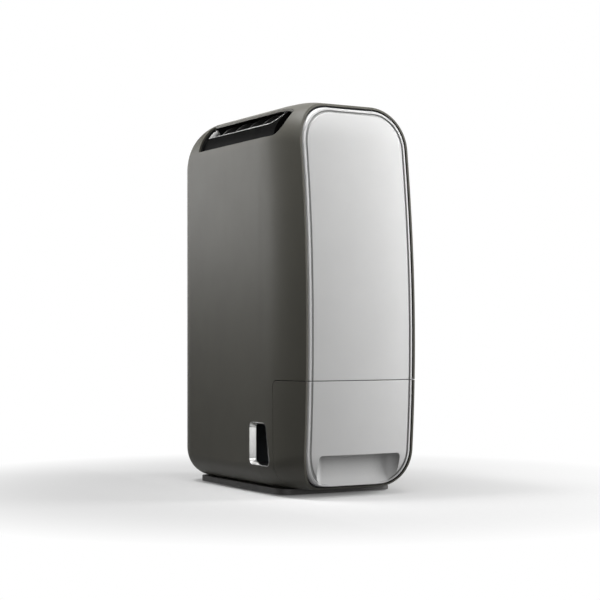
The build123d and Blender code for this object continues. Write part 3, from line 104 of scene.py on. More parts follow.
class NodeDesk:
    """Places and joins shader nodes in one tree."""

    def __init__(self, tree: bpy.types.NodeTree) -> None:
        """Take the tree of a material, world or group to work on."""
        self.tree = tree

    def feed(self, node: bpy.types.Node, inputs: dict[Any, Any]) -> None:
        """Join or set inputs of one node.

        Args:
            node: Node to feed.
            inputs: Values or output sockets by input name or number.
        """
        for name, value in inputs.items():
            if isinstance(value, bpy.types.NodeSocket):
                self.tree.links.new(value, node.inputs[name])
            else:
                node.inputs[name].default_value = value

    def place(self, kind: str, inputs: dict[Any, Any] | None = None, **settings: Any) -> bpy.types.Node:
        """Add one node, set its options and feed its inputs.

        Args:
            kind: Blender's name of the node type.
            inputs: Values or output sockets by input name or number.
            settings: Options of the node itself.

        Returns:
            The new node.
        """
        made = self.tree.nodes.new(kind)
        for name, value in settings.items():
            setattr(made, name, value)
        self.feed(made, inputs or {})
        return made

    def effect(self, group: bpy.types.NodeTree, inputs: dict[str, float] | None = None) -> bpy.types.Node:
        """Place a shared effect, with its own values where they are given."""
        return self.place("ShaderNodeGroup", inputs, node_tree=group)

    def on_piece(self) -> bpy.types.NodeSocket:
        """The place of each point on the piece, in metres."""
        return self.place("ShaderNodeTexCoord").outputs["Object"]

    def sum(self, operation: str, *terms: Any, clamp: bool = False) -> bpy.types.NodeSocket:
        """One arithmetic step.

        Args:
            operation: Name of the step, such as MULTIPLY.
            terms: Values or sockets that it works on.
            clamp: Keep the result between 0 and 1.

        Returns:
            The socket with the result.
        """
        made = self.place("ShaderNodeMath", dict(enumerate(terms)), operation=operation, use_clamp=clamp)
        return made.outputs[0]

    def stretch(self, place: Any, x: Any, y: Any, z: Any) -> bpy.types.NodeSocket:
        """Scale a place by a factor on each axis.

        Args:
            place: Socket with the place.
            x: Value or socket for the first axis.
            y: Value or socket for the second axis.
            z: Value or socket for the third axis.

        Returns:
            The socket with the scaled place.
        """
        factors = self.place("ShaderNodeCombineXYZ", {0: x, 1: y, 2: z})
        made = self.place("ShaderNodeVectorMath", {0: place, 1: factors.outputs[0]}, operation="MULTIPLY")
        return made.outputs[0]

    def blend(self, mask: Any, first: Any, second: Any) -> bpy.types.NodeSocket:
        """Blend two colours by a mask.

        Args:
            mask: Value or socket, 0 for the first colour and 1 for the second.
            first: Colour or socket.
            second: Colour or socket.

        Returns:
            The socket with the blended colour.
        """
        made = self.place("ShaderNodeMix", {0: mask, 6: first, 7: second}, data_type="RGBA")
        return made.outputs[2]

    def spread(self, value: Any, span: Span, target: Span = UNIT) -> bpy.types.NodeSocket:
        """Map a value from one span to another, held at both ends.

        Args:
            value: Socket to map.
            span: Start and end of the first span.
            target: Start and end of the second span.

        Returns:
            The socket with the mapped value.
        """
        inputs = dict(enumerate((value, *span, *target)))
        return self.place("ShaderNodeMapRange", inputs, clamp=True).outputs[0]

    def noise(self, place: Any, size: Any, detail: float) -> bpy.types.NodeSocket:
        """Soft noise of one feature size.

        Args:
            place: Socket with the place on the surface.
            size: Feature size in metres, as a value or socket.
            detail: Octaves of finer noise.

        Returns:
            The socket with the noise value.
        """
        scale = self.sum("DIVIDE", 1.0, size) if isinstance(size, bpy.types.NodeSocket) else 1.0 / size
        made = self.place("ShaderNodeTexNoise", {"Vector": place, "Scale": scale, "Detail": detail})
        return made.outputs[0]

    def bump(self, strength: float, rise: float, height: Any, normal: Any = None) -> bpy.types.NodeSocket:
        """Raise the surface by a height.

        Args:
            strength: Share of the rise that shows.
            rise: Rise in metres at a height of 1.
            height: Socket with the height.
            normal: Socket with the normal to start from, or none for the piece's own.

        Returns:
            The socket with the raised normal.
        """
        inputs = {"Strength": strength, "Distance": rise, "Height": height}
        if normal is not None:
            inputs["Normal"] = normal
        return self.place("ShaderNodeBump", inputs).outputs[0]


class SurfaceEffects:
    """Node groups that several finishes share, each built once."""

    bevel_samples: int = 6
    flat_to_sharp: Span = (0.995, 0.85)
    rub_patches: Span = (0.35, 0.65)
    rub_strength: Span = (0.35, 1.0)
    slope_to_level: Span = (0.35, 1.0)
    dust_patches: Span = (0.35, 0.7)
    dust_cover: Span = (0.2, 1.0)
    hollow_samples: int = 8
    open_to_hollow: Span = (0.97, 0.55)

    def __init__(self) -> None:
        """Build every group."""
        self.stipple = self._stipple()
        self.edge_wear_and_highlight_mask = self._edge_wear_and_highlight_mask()
        self.settled_dust = self._settled_dust()
        self.hand_marks = self._hand_marks()
        self.drawn_lines = self._drawn_lines()
        self.painted_recess_shade = self._painted_recess_shade()

    @staticmethod
    def _open(
        name: str, inputs: dict[str, float], outputs: dict[str, Socket]
    ) -> tuple[NodeDesk, bpy.types.Node, bpy.types.Node]:
        """Start a group with named sockets.

        Args:
            name: Name of the group.
            inputs: Resting value by input name.
            outputs: Kind by output name.

        Returns:
            The desk, the group's input node and its output node.
        """
        tree = bpy.data.node_groups.new(name, "ShaderNodeTree")
        for label, value in inputs.items():
            made = tree.interface.new_socket(label, in_out="INPUT", socket_type=Socket.VALUE.value)
            made.default_value = value
        for label, kind in outputs.items():
            tree.interface.new_socket(label, in_out="OUTPUT", socket_type=kind.value)
        desk = NodeDesk(tree)
        return desk, desk.place("NodeGroupInput"), desk.place("NodeGroupOutput")

    def _stipple(self) -> bpy.types.NodeTree:
        """Fine spark-eroded grain of a moulding tool.

        Returns:
            The group, with a height and a slow colour drift.
        """
        desk, given, out = self._open(
            "stipple",
            {"Size": 0.0008, "Drift Size": 0.05},
            {"Height": Socket.VALUE, "Drift": Socket.VALUE},
        )
        place = desk.on_piece()
        grain = desk.noise(place, given.outputs["Size"], detail=3.0)
        drift = desk.noise(place, given.outputs["Drift Size"], detail=2.0)
        desk.feed(out, {"Height": desk.spread(grain, NOISE_BODY), "Drift": desk.spread(drift, NOISE_BODY)})
        return desk.tree

    def _edge_wear_and_highlight_mask(self) -> bpy.types.NodeTree:
        """Rounded edges and a mask of them, which finishes lighten as slight rubbed wear, and on the vanes as
        a painted highlight.

        Returns:
            The group, with an edge mask and a rounded normal.
        """
        desk, given, out = self._open(
            "edge_wear_and_highlight_mask",
            {"Radius": 0.0006, "Patch Size": 0.012},
            {"Mask": Socket.VALUE, "Normal": Socket.VECTOR},
        )
        bevel = desk.place("ShaderNodeBevel", {"Radius": given.outputs["Radius"]}, samples=self.bevel_samples)
        rounded = bevel.outputs[0]
        plain = desk.place("ShaderNodeNewGeometry").outputs["Normal"]
        turn = desk.place("ShaderNodeVectorMath", {0: rounded, 1: plain}, operation="DOT_PRODUCT")
        edge = desk.spread(turn.outputs["Value"], self.flat_to_sharp)
        patches = desk.noise(desk.on_piece(), given.outputs["Patch Size"], detail=4.0)
        rub = desk.spread(patches, self.rub_patches, self.rub_strength)
        desk.feed(out, {"Mask": desk.sum("MULTIPLY", edge, rub, clamp=True), "Normal": rounded})
        return desk.tree

    def _settled_dust(self) -> bpy.types.NodeTree:
        """Thin dust on what faces up.

        Returns:
            The group, with a dust mask.
        """
        desk, given, out = self._open("settled_dust", {"Patch Size": 0.03}, {"Mask": Socket.VALUE})
        normal = desk.place("ShaderNodeNewGeometry").outputs["Normal"]
        upward = desk.place("ShaderNodeSeparateXYZ", {0: normal}).outputs["Z"]
        patches = desk.noise(desk.on_piece(), given.outputs["Patch Size"], detail=6.0)
        cover = desk.spread(patches, self.dust_patches, self.dust_cover)
        lying = desk.spread(upward, self.slope_to_level)
        desk.feed(out, {"Mask": desk.sum("MULTIPLY", lying, cover, clamp=True)})
        return desk.tree

    def _hand_marks(self) -> bpy.types.NodeTree:
        """Faint wiped streaks that change the sheen.

        Returns:
            The group, with a value about one half.
        """
        desk, given, out = self._open("hand_marks", {"Size": 0.04, "Stretch": 3.0}, {"Value": Socket.VALUE})
        wide = given.outputs["Stretch"]
        marks = desk.noise(desk.stretch(desk.on_piece(), wide, wide, 1.0), given.outputs["Size"], detail=3.0)
        desk.feed(out, {"Value": desk.spread(marks, NOISE_BODY)})
        return desk.tree

    def _drawn_lines(self) -> bpy.types.NodeTree:
        """Fine lines left by rolling or drawing a metal.

        Returns:
            The group, with a height.
        """
        desk, given, out = self._open("drawn_lines", {"Pitch": 0.0005, "Run": 40.0}, {"Height": Socket.VALUE})
        shrink = desk.sum("DIVIDE", 1.0, given.outputs["Run"])
        drawn = desk.stretch(desk.on_piece(), shrink, 1.0, 1.0)
        desk.feed(out, {"Height": desk.noise(drawn, given.outputs["Pitch"], detail=2.0)})
        return desk.tree

    def _painted_recess_shade(self) -> bpy.types.NodeTree:
        """Painted shade: soft greying where a piece is hollowed, standing in for the shade that falls there.

        Returns:
            The group, with a mask that grows into the hollow.
        """
        desk, given, out = self._open("painted_recess_shade", {"Reach": 0.03}, {"Mask": Socket.VALUE})
        openness = desk.place(
            "ShaderNodeAmbientOcclusion",
            {"Distance": given.outputs["Reach"]},
            samples=self.hollow_samples,
            only_local=True,
        )
        desk.feed(out, {"Mask": desk.spread(openness.outputs["AO"], self.open_to_hollow)})
        return desk.tree


EFFECTS = SurfaceEffects()


@dataclass(frozen=True)
class Finish(ABC):
    """A surface finish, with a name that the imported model's own materials don't have."""

    name: str

    def material(self) -> bpy.types.Material:
        """Build the material once and give it back.

        Returns:
            The finished material.
        """
        found = bpy.data.materials.get(self.name)
        if found:
            return found
        made = bpy.data.materials.new(self.name)
        made.use_nodes = True
        self.paint(NodeDesk(made.node_tree), made.node_tree.nodes["Principled BSDF"])
        return made

    @abstractmethod
    def paint(self, desk: NodeDesk, shader: bpy.types.Node) -> None:
        """Feed the shader with what this finish shows.

        Args:
            desk: Desk of the material's tree.
            shader: Shader of the material.
        """


@dataclass(frozen=True)
class Moulding(Finish):
    """A moulded plastic with grain, edges lightened by wear and on the vanes by a painted highlight, dust,
    wiped sheen, and painted shade in its hollows where asked.
    """

    colour: Colour
    roughness: float = 0.42
    sheen_drift: float = 0.10
    grain_size: float = 0.0007
    grain_depth: float = 0.12
    grain_rise: float = 0.0002
    drift: float = 0.06
    edge_radius: float = 0.0006
    edge_wear_and_highlight: float = 0.25
    edge_gain: float = 2.2
    dust: float = 0.10
    dust_tint: Colour = (0.52, 0.50, 0.47)
    dust_dulling: float = 0.5
    coat: float = 0.0
    coat_roughness: float = 0.12
    specular: float = 0.5
    clear: float = 0.0
    recess_painted_shade: float = 0.0
    painted_shade_gain: float = 0.4

    def paint(self, desk: NodeDesk, shader: bpy.types.Node) -> None:
        """Feed the shader with the plastic's tone, sheen and grain.

        Args:
            desk: Desk of the material's tree.
            shader: Shader of the material.
        """
        grain = desk.effect(EFFECTS.stipple, {"Size": self.grain_size})
        edge = desk.effect(EFFECTS.edge_wear_and_highlight_mask, {"Radius": self.edge_radius})
        dust = desk.effect(EFFECTS.settled_dust)
        marks = desk.effect(EFFECTS.hand_marks)
        darker = tint(self.colour, 1.0 - self.drift)
        lighter = tint(self.colour, 1.0 + self.drift)
        tone = desk.blend(grain.outputs["Drift"], darker, lighter)
        # Edges are lightened: rubbed wear on most plastics, a painted highlight on the vanes' edges.
        rubbed_and_highlit = desk.sum("MULTIPLY", edge.outputs["Mask"], self.edge_wear_and_highlight)
        tone = desk.blend(rubbed_and_highlit, tone, tint(self.colour, self.edge_gain))
        dusted = desk.sum("MULTIPLY", dust.outputs["Mask"], self.dust)
        tone = desk.blend(dusted, tone, tint(self.dust_tint))
        # Painted shade: hollows such as a finger scoop are greyed in the base colour, where shade would fall.
        if self.recess_painted_shade:
            hollow = desk.effect(EFFECTS.painted_recess_shade)
            painted_shade = desk.sum("MULTIPLY", hollow.outputs["Mask"], self.recess_painted_shade)
            tone = desk.blend(painted_shade, tone, tint(self.colour, self.painted_shade_gain))
        half = self.sheen_drift / 2
        sheen = desk.spread(marks.outputs["Value"], UNIT, (self.roughness - half, self.roughness + half))
        dulled = desk.sum("MULTIPLY", dusted, self.dust_dulling)
        height, rounded = grain.outputs["Height"], edge.outputs["Normal"]
        desk.feed(
            shader,
            {
                "Base Color": tone,
                "Roughness": desk.sum("ADD", sheen, dulled, clamp=True),
                "Normal": desk.bump(self.grain_depth, self.grain_rise, height, rounded),
                "Coat Weight": self.coat,
                "Coat Roughness": self.coat_roughness,
                "Specular IOR Level": self.specular,
                "Transmission Weight": self.clear,
            },
        )


@dataclass(frozen=True)
class BareMetal(Finish):
    """A drawn or rolled metal with fine lines and light scuffs."""

    colour: Colour = (0.60, 0.60, 0.61)
    roughness: float = 0.34
    pitch: float = 0.0005
    wiped_gain: float = 0.86
    edge_gain: float = 1.3
    line_sheen: Span = (-0.08, 0.10)
    line_depth: float = 0.15
    line_rise: float = 0.0001

    def paint(self, desk: NodeDesk, shader: bpy.types.Node) -> None:
        """Feed the shader with the metal's tone, sheen and lines.

        Args:
            desk: Desk of the material's tree.
            shader: Shader of the material.
        """
        height = desk.effect(EFFECTS.drawn_lines, {"Pitch": self.pitch}).outputs["Height"]
        marks = desk.effect(EFFECTS.hand_marks)
        edge = desk.effect(EFFECTS.edge_wear_and_highlight_mask)
        tone = desk.blend(marks.outputs["Value"], tint(self.colour, self.wiped_gain), tint(self.colour))
        tone = desk.blend(edge.outputs["Mask"], tone, tint(self.colour, self.edge_gain))
        smooth, rough = (self.roughness + change for change in self.line_sheen)
        desk.feed(
            shader,
            {
                "Base Color": tone,
                "Roughness": desk.spread(height, NOISE_BODY, (smooth, rough)),
                "Normal": desk.bump(self.line_depth, self.line_rise, height, edge.outputs["Normal"]),
                "Metallic": 1.0,
            },
        )


@dataclass(frozen=True)
class FilterGauze(Finish):
    """Fine woven gauze with open meshes."""

    name: str = "filter_gauze"
    thread: Colour = (0.06, 0.06, 0.065)
    pitch: float = 0.0016
    thread_crown: Span = (-0.2, 0.6)
    thread_depth: float = 0.5
    thread_rise: float = 0.0004
    thread_sheen: Span = (0.9, 0.7)
    thread_cover: Span = (0.25, 1.0)
    lint: Colour = (0.30, 0.29, 0.27)
    lint_size: float = 0.02
    lint_patches: Span = (0.4, 0.75)
    lint_cover: Span = (0.0, 0.4)

    def paint(self, desk: NodeDesk, shader: bpy.types.Node) -> None:
        """Feed the shader with threads both ways and a little lint.

        Args:
            desk: Desk of the material's tree.
            shader: Shader of the material.
        """
        place = desk.on_piece()
        parts = desk.place("ShaderNodeSeparateXYZ", {0: place})
        threads = []
        for axis in ("Y", "Z"):
            turn = desk.sum("MULTIPLY", parts.outputs[axis], 2.0 * math.pi / self.pitch)
            threads.append(desk.spread(desk.sum("SINE", turn), self.thread_crown))
        cover = desk.sum("MAXIMUM", *threads)
        lint = desk.spread(desk.noise(place, self.lint_size, detail=5.0), self.lint_patches, self.lint_cover)
        desk.feed(
            shader,
            {
                "Base Color": desk.blend(lint, tint(self.thread), tint(self.lint)),
                "Roughness": desk.spread(cover, UNIT, self.thread_sheen),
                "Alpha": desk.spread(cover, UNIT, self.thread_cover),
                "Normal": desk.bump(self.thread_depth, self.thread_rise, cover),
            },
        )


@dataclass(frozen=True)
class HoneycombCeramic(Finish):
    """Wound corrugated sheet coated with desiccant, seen end on."""

    name: str = "honeycomb_ceramic"
    wall: Colour = (0.66, 0.62, 0.54)
    wall_edge: Span = (0.05, 0.2)
    wall_depth: float = 0.6
    wall_rise: float = 0.0006
    wall_sheen: Span = (0.95, 0.8)
    # Dark of the cells: painted shade down the open channels.
    painted_cell_shade: Colour = (0.10, 0.09, 0.08)
    pitch: float = 0.0022
    stain_size: float = 0.03
    stain_gain: float = 0.7
    stain_cover: Span = (0.0, 0.35)

    def paint(self, desk: NodeDesk, shader: bpy.types.Node) -> None:
        """Feed the shader with stained walls round cells painted dark, a painted shade for the deep open
        channels.

        Args:
            desk: Desk of the material's tree.
            shader: Shader of the material.
        """
        place = desk.on_piece()
        inputs = {"Vector": place, "Scale": 1.0 / self.pitch}
        cells = desk.place("ShaderNodeTexVoronoi", inputs, feature="DISTANCE_TO_EDGE")
        wall = desk.spread(cells.outputs[0], self.wall_edge, UNIT_DOWN)
        stain = desk.spread(desk.noise(place, self.stain_size, detail=4.0), NOISE_BODY, self.stain_cover)
        tone = desk.blend(stain, tint(self.wall), tint(self.wall, self.stain_gain))
        desk.feed(
            shader,
            {
                "Base Color": desk.blend(wall, tint(self.painted_cell_shade), tone),
                "Roughness": desk.spread(wall, UNIT, self.wall_sheen),
                "Normal": desk.bump(self.wall_depth, self.wall_rise, wall),
            },
        )


@dataclass(frozen=True)
class CircuitLaminate(Finish):
    """Green laminate with faint tracks and tinned spots."""

    name: str = "circuit_laminate"
    mask: Colour = (0.015, 0.12, 0.05)
    track: Colour = (0.03, 0.20, 0.09)
    track_edge: Span = (0.45, 0.5)
    tin: Colour = (0.55, 0.55, 0.54)
    spot_edge: Span = (0.12, 0.16)
    spot_depth: float = 0.3
    spot_rise: float = 0.0003
    spot_sheen: Span = (0.4, 0.3)
    pitch: float = 0.006

    def paint(self, desk: NodeDesk, shader: bpy.types.Node) -> None:
        """Feed the shader with tracks and spots on the laminate.

        Args:
            desk: Desk of the material's tree.
            shader: Shader of the material.
        """
        inputs = {"Vector": desk.on_piece(), "Scale": 1.0 / self.pitch}
        bricks = desk.place("ShaderNodeTexVoronoi", inputs, distance="CHEBYCHEV")
        chance = desk.place("ShaderNodeSeparateColor", {0: bricks.outputs["Color"]}).outputs[0]
        tracks = desk.spread(chance, self.track_edge)
        spots = desk.spread(bricks.outputs["Distance"], self.spot_edge, UNIT_DOWN)
        tone = desk.blend(tracks, tint(self.mask), tint(self.track))
        desk.feed(
            shader,
            {
                "Base Color": desk.blend(spots, tone, tint(self.tin)),
                "Metallic": spots,
                "Roughness": desk.spread(spots, UNIT, self.spot_sheen),
                "Normal": desk.bump(self.spot_depth, self.spot_rise, spots),
            },
        )


SHELL_SATIN = Moulding(
    "shell_satin",
    (0.122, 0.118, 0.100),
    roughness=0.48,
    sheen_drift=0.03,
    drift=0.03,
    edge_wear_and_highlight=0.18,
    dust=0.05,
    specular=0.25,
)
# Painted shade: its finger scoop and the groove round the panel are greyed in the base colour.
FRONT_WHITE = Moulding(
    "front_white",
    (0.80, 0.80, 0.795),
    roughness=0.42,
    sheen_drift=0.05,
    drift=0.015,
    edge_radius=0.0014,
    edge_wear_and_highlight=0.0,
    dust=0.02,
    coat=0.08,
    recess_painted_shade=1.0,
)
FLAP_BLACK = Moulding(
    "flap_black", (0.004, 0.004, 0.004), roughness=0.5, grain_depth=0.03, specular=0.02, dust=0.02
)
# The vanes' edges are painted light grey, a painted highlight where their edges catch the light.
VANE_BLACK = Moulding("vane_black", (0.050, 0.050, 0.048), roughness=0.5, edge_wear_and_highlight=0.9, edge_gain=14.0)
# Light grey that paints light on the outlet's end wall, whose own colour is the dark body colour.
END_PAINTED_LIGHT = Moulding("end_painted_light", (0.40, 0.40, 0.39), roughness=0.4, drift=0.03, edge_wear_and_highlight=0.05)
PLINTH_BLACK = Moulding("plinth_black", (0.048, 0.046, 0.044), roughness=0.5, edge_wear_and_highlight=0.15)
GLOSS_BLACK = Moulding(
    "gloss_black", (0.012, 0.012, 0.013), roughness=0.14, sheen_drift=0.06, grain_depth=0.02, coat=0.7
)
BLACK_SATIN = Moulding("black_satin", (0.022, 0.022, 0.023), roughness=0.48)
INNER_GREY = Moulding("inner_grey", (0.36, 0.37, 0.38), roughness=0.5, dust=0.15)
INNER_WHITE = Moulding("inner_white", (0.74, 0.74, 0.72), roughness=0.45, dust=0.12, drift=0.03)
# Light colour of the keys' raised signs, and of the bead that paints a highlight on the visor's edge.
SIGN_AND_HIGHLIGHT_LINE = Moulding("sign_and_highlight_line", (0.74, 0.74, 0.73), roughness=0.3, drift=0.02)
SMOKE_CLEAR = Moulding(
    "smoke_clear", (0.62, 0.67, 0.70), roughness=0.1, grain_depth=0.02, clear=0.85, dust=0.03
)
LENS_CLEAR = Moulding("lens_clear", (0.30, 0.34, 0.36), roughness=0.12, grain_depth=0.02, coat=0.6)
SOFT_RUBBER = Moulding("soft_rubber", (0.025, 0.025, 0.025), roughness=0.75, specular=0.3, dust=0.2)
MICA_SHEET = Moulding("mica_sheet", (0.46, 0.38, 0.27), roughness=0.35, drift=0.2, grain_size=0.003)
PART_BLACK = Moulding("part_black", (0.03, 0.03, 0.034), roughness=0.4)
CARD_FELT = Moulding("card_felt", grey(0.02), roughness=0.95, specular=0.1, edge_wear_and_highlight=0.0)
BRIGHT_STEEL = BareMetal("bright_steel")
PLATED_TRIM = BareMetal("plated_trim", (0.56, 0.56, 0.55), roughness=0.14)
DULL_ZINC = BareMetal("dull_zinc", (0.52, 0.53, 0.55), roughness=0.45)
GAUZE = FilterGauze()
HONEYCOMB = HoneycombCeramic()
LAMINATE = CircuitLaminate()


def dress_node(name: str, finish: Finish) -> None:
    """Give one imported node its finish.

    Args:
        name: Name of the node.
        finish: Finish to put on it.
    """
    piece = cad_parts[name]
    piece.data.materials.clear()
    piece.data.materials.append(finish.material())
    log.info("dressed %s in %s", name, finish.name)


def new_piece(name: str, mesh: bmesh.types.BMesh, finish: Finish, body: Body) -> None:
    """Turn a finished mesh into a piece that rides on a body.

    Args:
        name: Name of the piece.
        mesh: Mesh in the frame of the part, in metres.
        finish: Finish to put on it.
        body: Body that it moves with.
    """
    data = bpy.data.meshes.new(name)
    bmesh.ops.recalc_face_normals(mesh, faces=mesh.faces)
    mesh.to_mesh(data)
    mesh.free()
    for face in data.polygons:
        face.use_smooth = True
    data.materials.append(finish.material())
    made = bpy.data.objects.new(name, data)
    bpy.context.scene.collection.objects.link(made)
    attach(made, body.value)
    log.info("made %s on %s", name, body.value)


def ring_band(
    mesh: bmesh.types.BMesh, centre: Point, radius: float, width: float, height: float, turns: Span
) -> None:
    """Add a flat raised ring, or part of one, lying level.

    Args:
        mesh: Mesh to add to.
        centre: Middle of the ring at its foot.
        radius: Middle radius.
        width: Width of the band.
        height: Rise of the band.
        turns: First and last turn in degrees.
    """
    x, y, z = centre
    rows = []
    for k in range(BAND_STEPS + 1):
        turn = math.radians(turns[0] + (turns[1] - turns[0]) * k / BAND_STEPS)
        row = []
        for reach, rise in BAND_PROFILE:
            out = radius + reach * width
            spot = (x + out * math.cos(turn), y + out * math.sin(turn), z + rise * height)
            row.append(mesh.verts.new(spot))
        rows.append(row)
    for first, second in zip(rows, rows[1:]):
        for k in range(len(BAND_PROFILE) - 1):
            mesh.faces.new((first[k], first[k + 1], second[k + 1], second[k]))


def bar(mesh: bmesh.types.BMesh, start: Point, end: Point, width: float, height: float) -> None:
    """Add a flat raised bar with a bevelled top, lying level.

    Args:
        mesh: Mesh to add to.
        start: Foot of the bar at one end.
        end: Foot of the bar at the other end.
        width: Width of the bar.
        height: Rise of the bar.
    """
    along = (Vector(end) - Vector(start)).normalized()
    across = Vector((-along.y, along.x, 0.0))
    rings = []
    for inset, rise in ((0.0, 0.0), (BAR_BEVEL * width, height)):
        corners = []
        for place, way in ((start, 1), (end, -1)):
            for side in (1, -1):
                spot = Vector(place) + along * way * inset + across * side * way * (width / 2 - inset)
                corners.append(mesh.verts.new(spot + Vector((0, 0, rise))))
        rings.append(corners)
    low, high = rings
    mesh.faces.new(high)
    for k in range(len(low)):
        after = (k + 1) % len(low)
        mesh.faces.new((low[k], low[after], high[after], high[k]))


def bridge(mesh: bmesh.types.BMesh, rows: Sequence[Sequence[Point]]) -> None:
    """Join closed rings of points into one skin, closed at both ends.

    Args:
        mesh: Mesh to add to.
        rows: Rings in order, each with the same number of points.
    """
    rings = [[mesh.verts.new(point) for point in row] for row in rows]
    for first, second in zip(rings, rings[1:]):
        for k in range(len(first)):
            after = (k + 1) % len(first)
            mesh.faces.new((first[k], first[after], second[after], second[k]))
    mesh.faces.new(rings[0])
    mesh.faces.new(rings[-1])


def bead(mesh: bmesh.types.BMesh, path: Sequence[Point], radius: float) -> None:
    """Sweep a thin round bead along a path.

    Args:
        mesh: Mesh to add to.
        path: Points of the bead's middle line.
        radius: Radius of the bead.
    """
    points = [Vector(point) for point in path]
    rows = []
    for k, point in enumerate(points):
        along = (points[min(k + 1, len(points) - 1)] - points[max(k - 1, 0)]).normalized()
        across = along.cross(Vector(BEAD_ACROSS)).normalized()
        third = along.cross(across)
        row = []
        for side in range(BEAD_SIDES):
            turn = 2.0 * math.pi * side / BEAD_SIDES
            row.append(tuple(point + radius * (math.cos(turn) * across + math.sin(turn) * third)))
        rows.append(row)
    bridge(mesh, rows)


def worn(**finishes: Finish) -> Any:
    """Dataclass field that holds the finish of each node by the node's name."""
    return field(default_factory=lambda: dict(finishes))


@dataclass
class SubAssembly:
    """Pieces that are built and dressed together."""

    finishes: dict[str, Finish]

    def build(self) -> None:
        """Add no piece, unless the sub-assembly has some of its own."""

    def dress(self) -> None:
        """Put each node's finish on it."""
        for name, finish in self.finishes.items():
            dress_node(name, finish)


@dataclass
class Casing(SubAssembly):
    """Dark wrap casing, its white front, its plinth and the fixed walls inside."""

    finishes: dict[str, Finish] = worn(
        left_shell=SHELL_SATIN,
        right_shell=SHELL_SATIN,
        drip_deck=INNER_GREY,
        rear_wall=INNER_GREY,
        front_frame=BLACK_SATIN,
        front_panel=FRONT_WHITE,
        plinth=PLINTH_BLACK,
        feet=SOFT_RUBBER,
        case_screws=DULL_ZINC,
    )


@dataclass
class TankDrawer(SubAssembly):
    """Pull-out tank with its white front, dark wrap and clear tub."""

    finishes: dict[str, Finish] = worn(
        tank_wrap=SHELL_SATIN,
        tank_plate=BLACK_SATIN,
        tank_front=FRONT_WHITE,
        tank_tub=SMOKE_CLEAR,
        tank_float=INNER_WHITE,
        window_frame=PLATED_TRIM,
        level_switch=BLACK_SATIN,
    )


@dataclass
class AirOutlet(SubAssembly):
    """Shoulder outlet with its duct, vanes and visor flap, in metres and degrees."""

    pivot: tuple[float, float] = (-0.042, 0.424)
    blade_out: float = 0.0454
    blade_in: float = 0.0436
    blade_top: float = 34.1
    cheek_top: float = 58.5
    web_top: float = 56.0
    web_start: float = -0.066
    cheek_front: float = -0.0928
    cheek_back: float = 0.0923
    face_in: float = 0.035
    face_thick: float = 0.0004
    highlight_bead_radius: float = 0.0007
    highlight_bead_rise: float = 1.0
    highlight_bead_reach: float = 0.0449
    steps: int = 16
    finishes: dict[str, Finish] = worn(
        outlet_duct=BLACK_SATIN,
        outlet_vanes=VANE_BLACK,
        flap=FLAP_BLACK,
        flap_motor=BRIGHT_STEEL,
    )

    def build(self) -> None:
        """Make the visor's corner web, the light bead of its painted edge highlight and its end face in
        painted light.
        """
        self._web()
        self._highlight_bead()
        self._end_face()

    def _at(self, radius: float, turn: float, y: float) -> Point:
        """Place about the visor's pivot.

        Args:
            radius: Distance from the pivot.
            turn: Turn up from -X in degrees.
            y: Place along the pivot.

        Returns:
            The place in the frame of the part.
        """
        angle = math.radians(turn)
        return (self.pivot[0] - radius * math.cos(angle), y, self.pivot[1] + radius * math.sin(angle))

    def _sweep(self) -> list[tuple[float, float]]:
        """Curve from the blade's top edge up to the front cheek.

        Returns:
            Places along the pivot, each with its turn in degrees.
        """
        run = self.web_start - self.cheek_front
        rise = self.web_top - self.blade_top
        turns = [math.radians(90.0 * k / self.steps) for k in range(self.steps + 1)]
        return [(self.web_start - run * math.sin(t), self.web_top - rise * math.cos(t)) for t in turns]

    def _slice(self, inner: float, top: float, y: float) -> list[Point]:
        """Outline of a curved strip that stands on the blade's top edge.

        Args:
            inner: Radius of its inside.
            top: Turn that it reaches, in degrees.
            y: Place along the pivot.

        Returns:
            Its points, up the outside and down the inside.
        """
        turns = [self.blade_top + (top - self.blade_top) * k / self.steps for k in range(self.steps + 1)]
        outside = [self._at(self.blade_out, turn, y) for turn in turns]
        return outside + [self._at(inner, turn, y) for turn in reversed(turns)]

    def _web(self) -> None:
        """Fill the corner between the blade and the front cheek."""
        # The sweep starts on the blade's edge, where the strip has no height yet.
        rows = [self._slice(self.blade_in, top, y) for y, top in self._sweep()[1:]]
        mesh = bmesh.new()
        bridge(mesh, rows)
        new_piece("flap_web", mesh, FLAP_BLACK, Body.FLAP)

    def _highlight_bead(self) -> None:
        """Run a light bead along the visor's upper edge and up its front cheek, a painted highlight where
        that edge catches the light.
        """
        path = [self._at(self.highlight_bead_reach, self.blade_top + self.highlight_bead_rise, self.cheek_back)]
        path += [self._at(self.highlight_bead_reach, turn + self.highlight_bead_rise, y) for y, turn in self._sweep()]
        path.append(self._at(self.highlight_bead_reach, self.cheek_top, self.cheek_front))
        mesh = bmesh.new()
        bead(mesh, path, self.highlight_bead_radius)
        new_piece("flap_highlight_bead", mesh, SIGN_AND_HIGHLIGHT_LINE, Body.FLAP)

    def _end_face(self) -> None:
        """Face the inside of the visor's back cheek in light grey, painted light on an end wall that has the
        dark body colour.
        """
        places = (self.cheek_back, self.cheek_back - self.face_thick)
        mesh = bmesh.new()
        bridge(mesh, [self._slice(self.face_in, self.cheek_top, y) for y in places])
        new_piece("flap_end_face", mesh, END_PAINTED_LIGHT, Body.FLAP)


@dataclass
class Intake(SubAssembly):
    """Side intake with the pull-off grille and its filter."""

    finishes: dict[str, Finish] = worn(
        intake_grille=SHELL_SATIN,
        filter_seat=BLACK_SATIN,
        filter_frame=BLACK_SATIN,
        filter_mesh=GAUZE,
    )


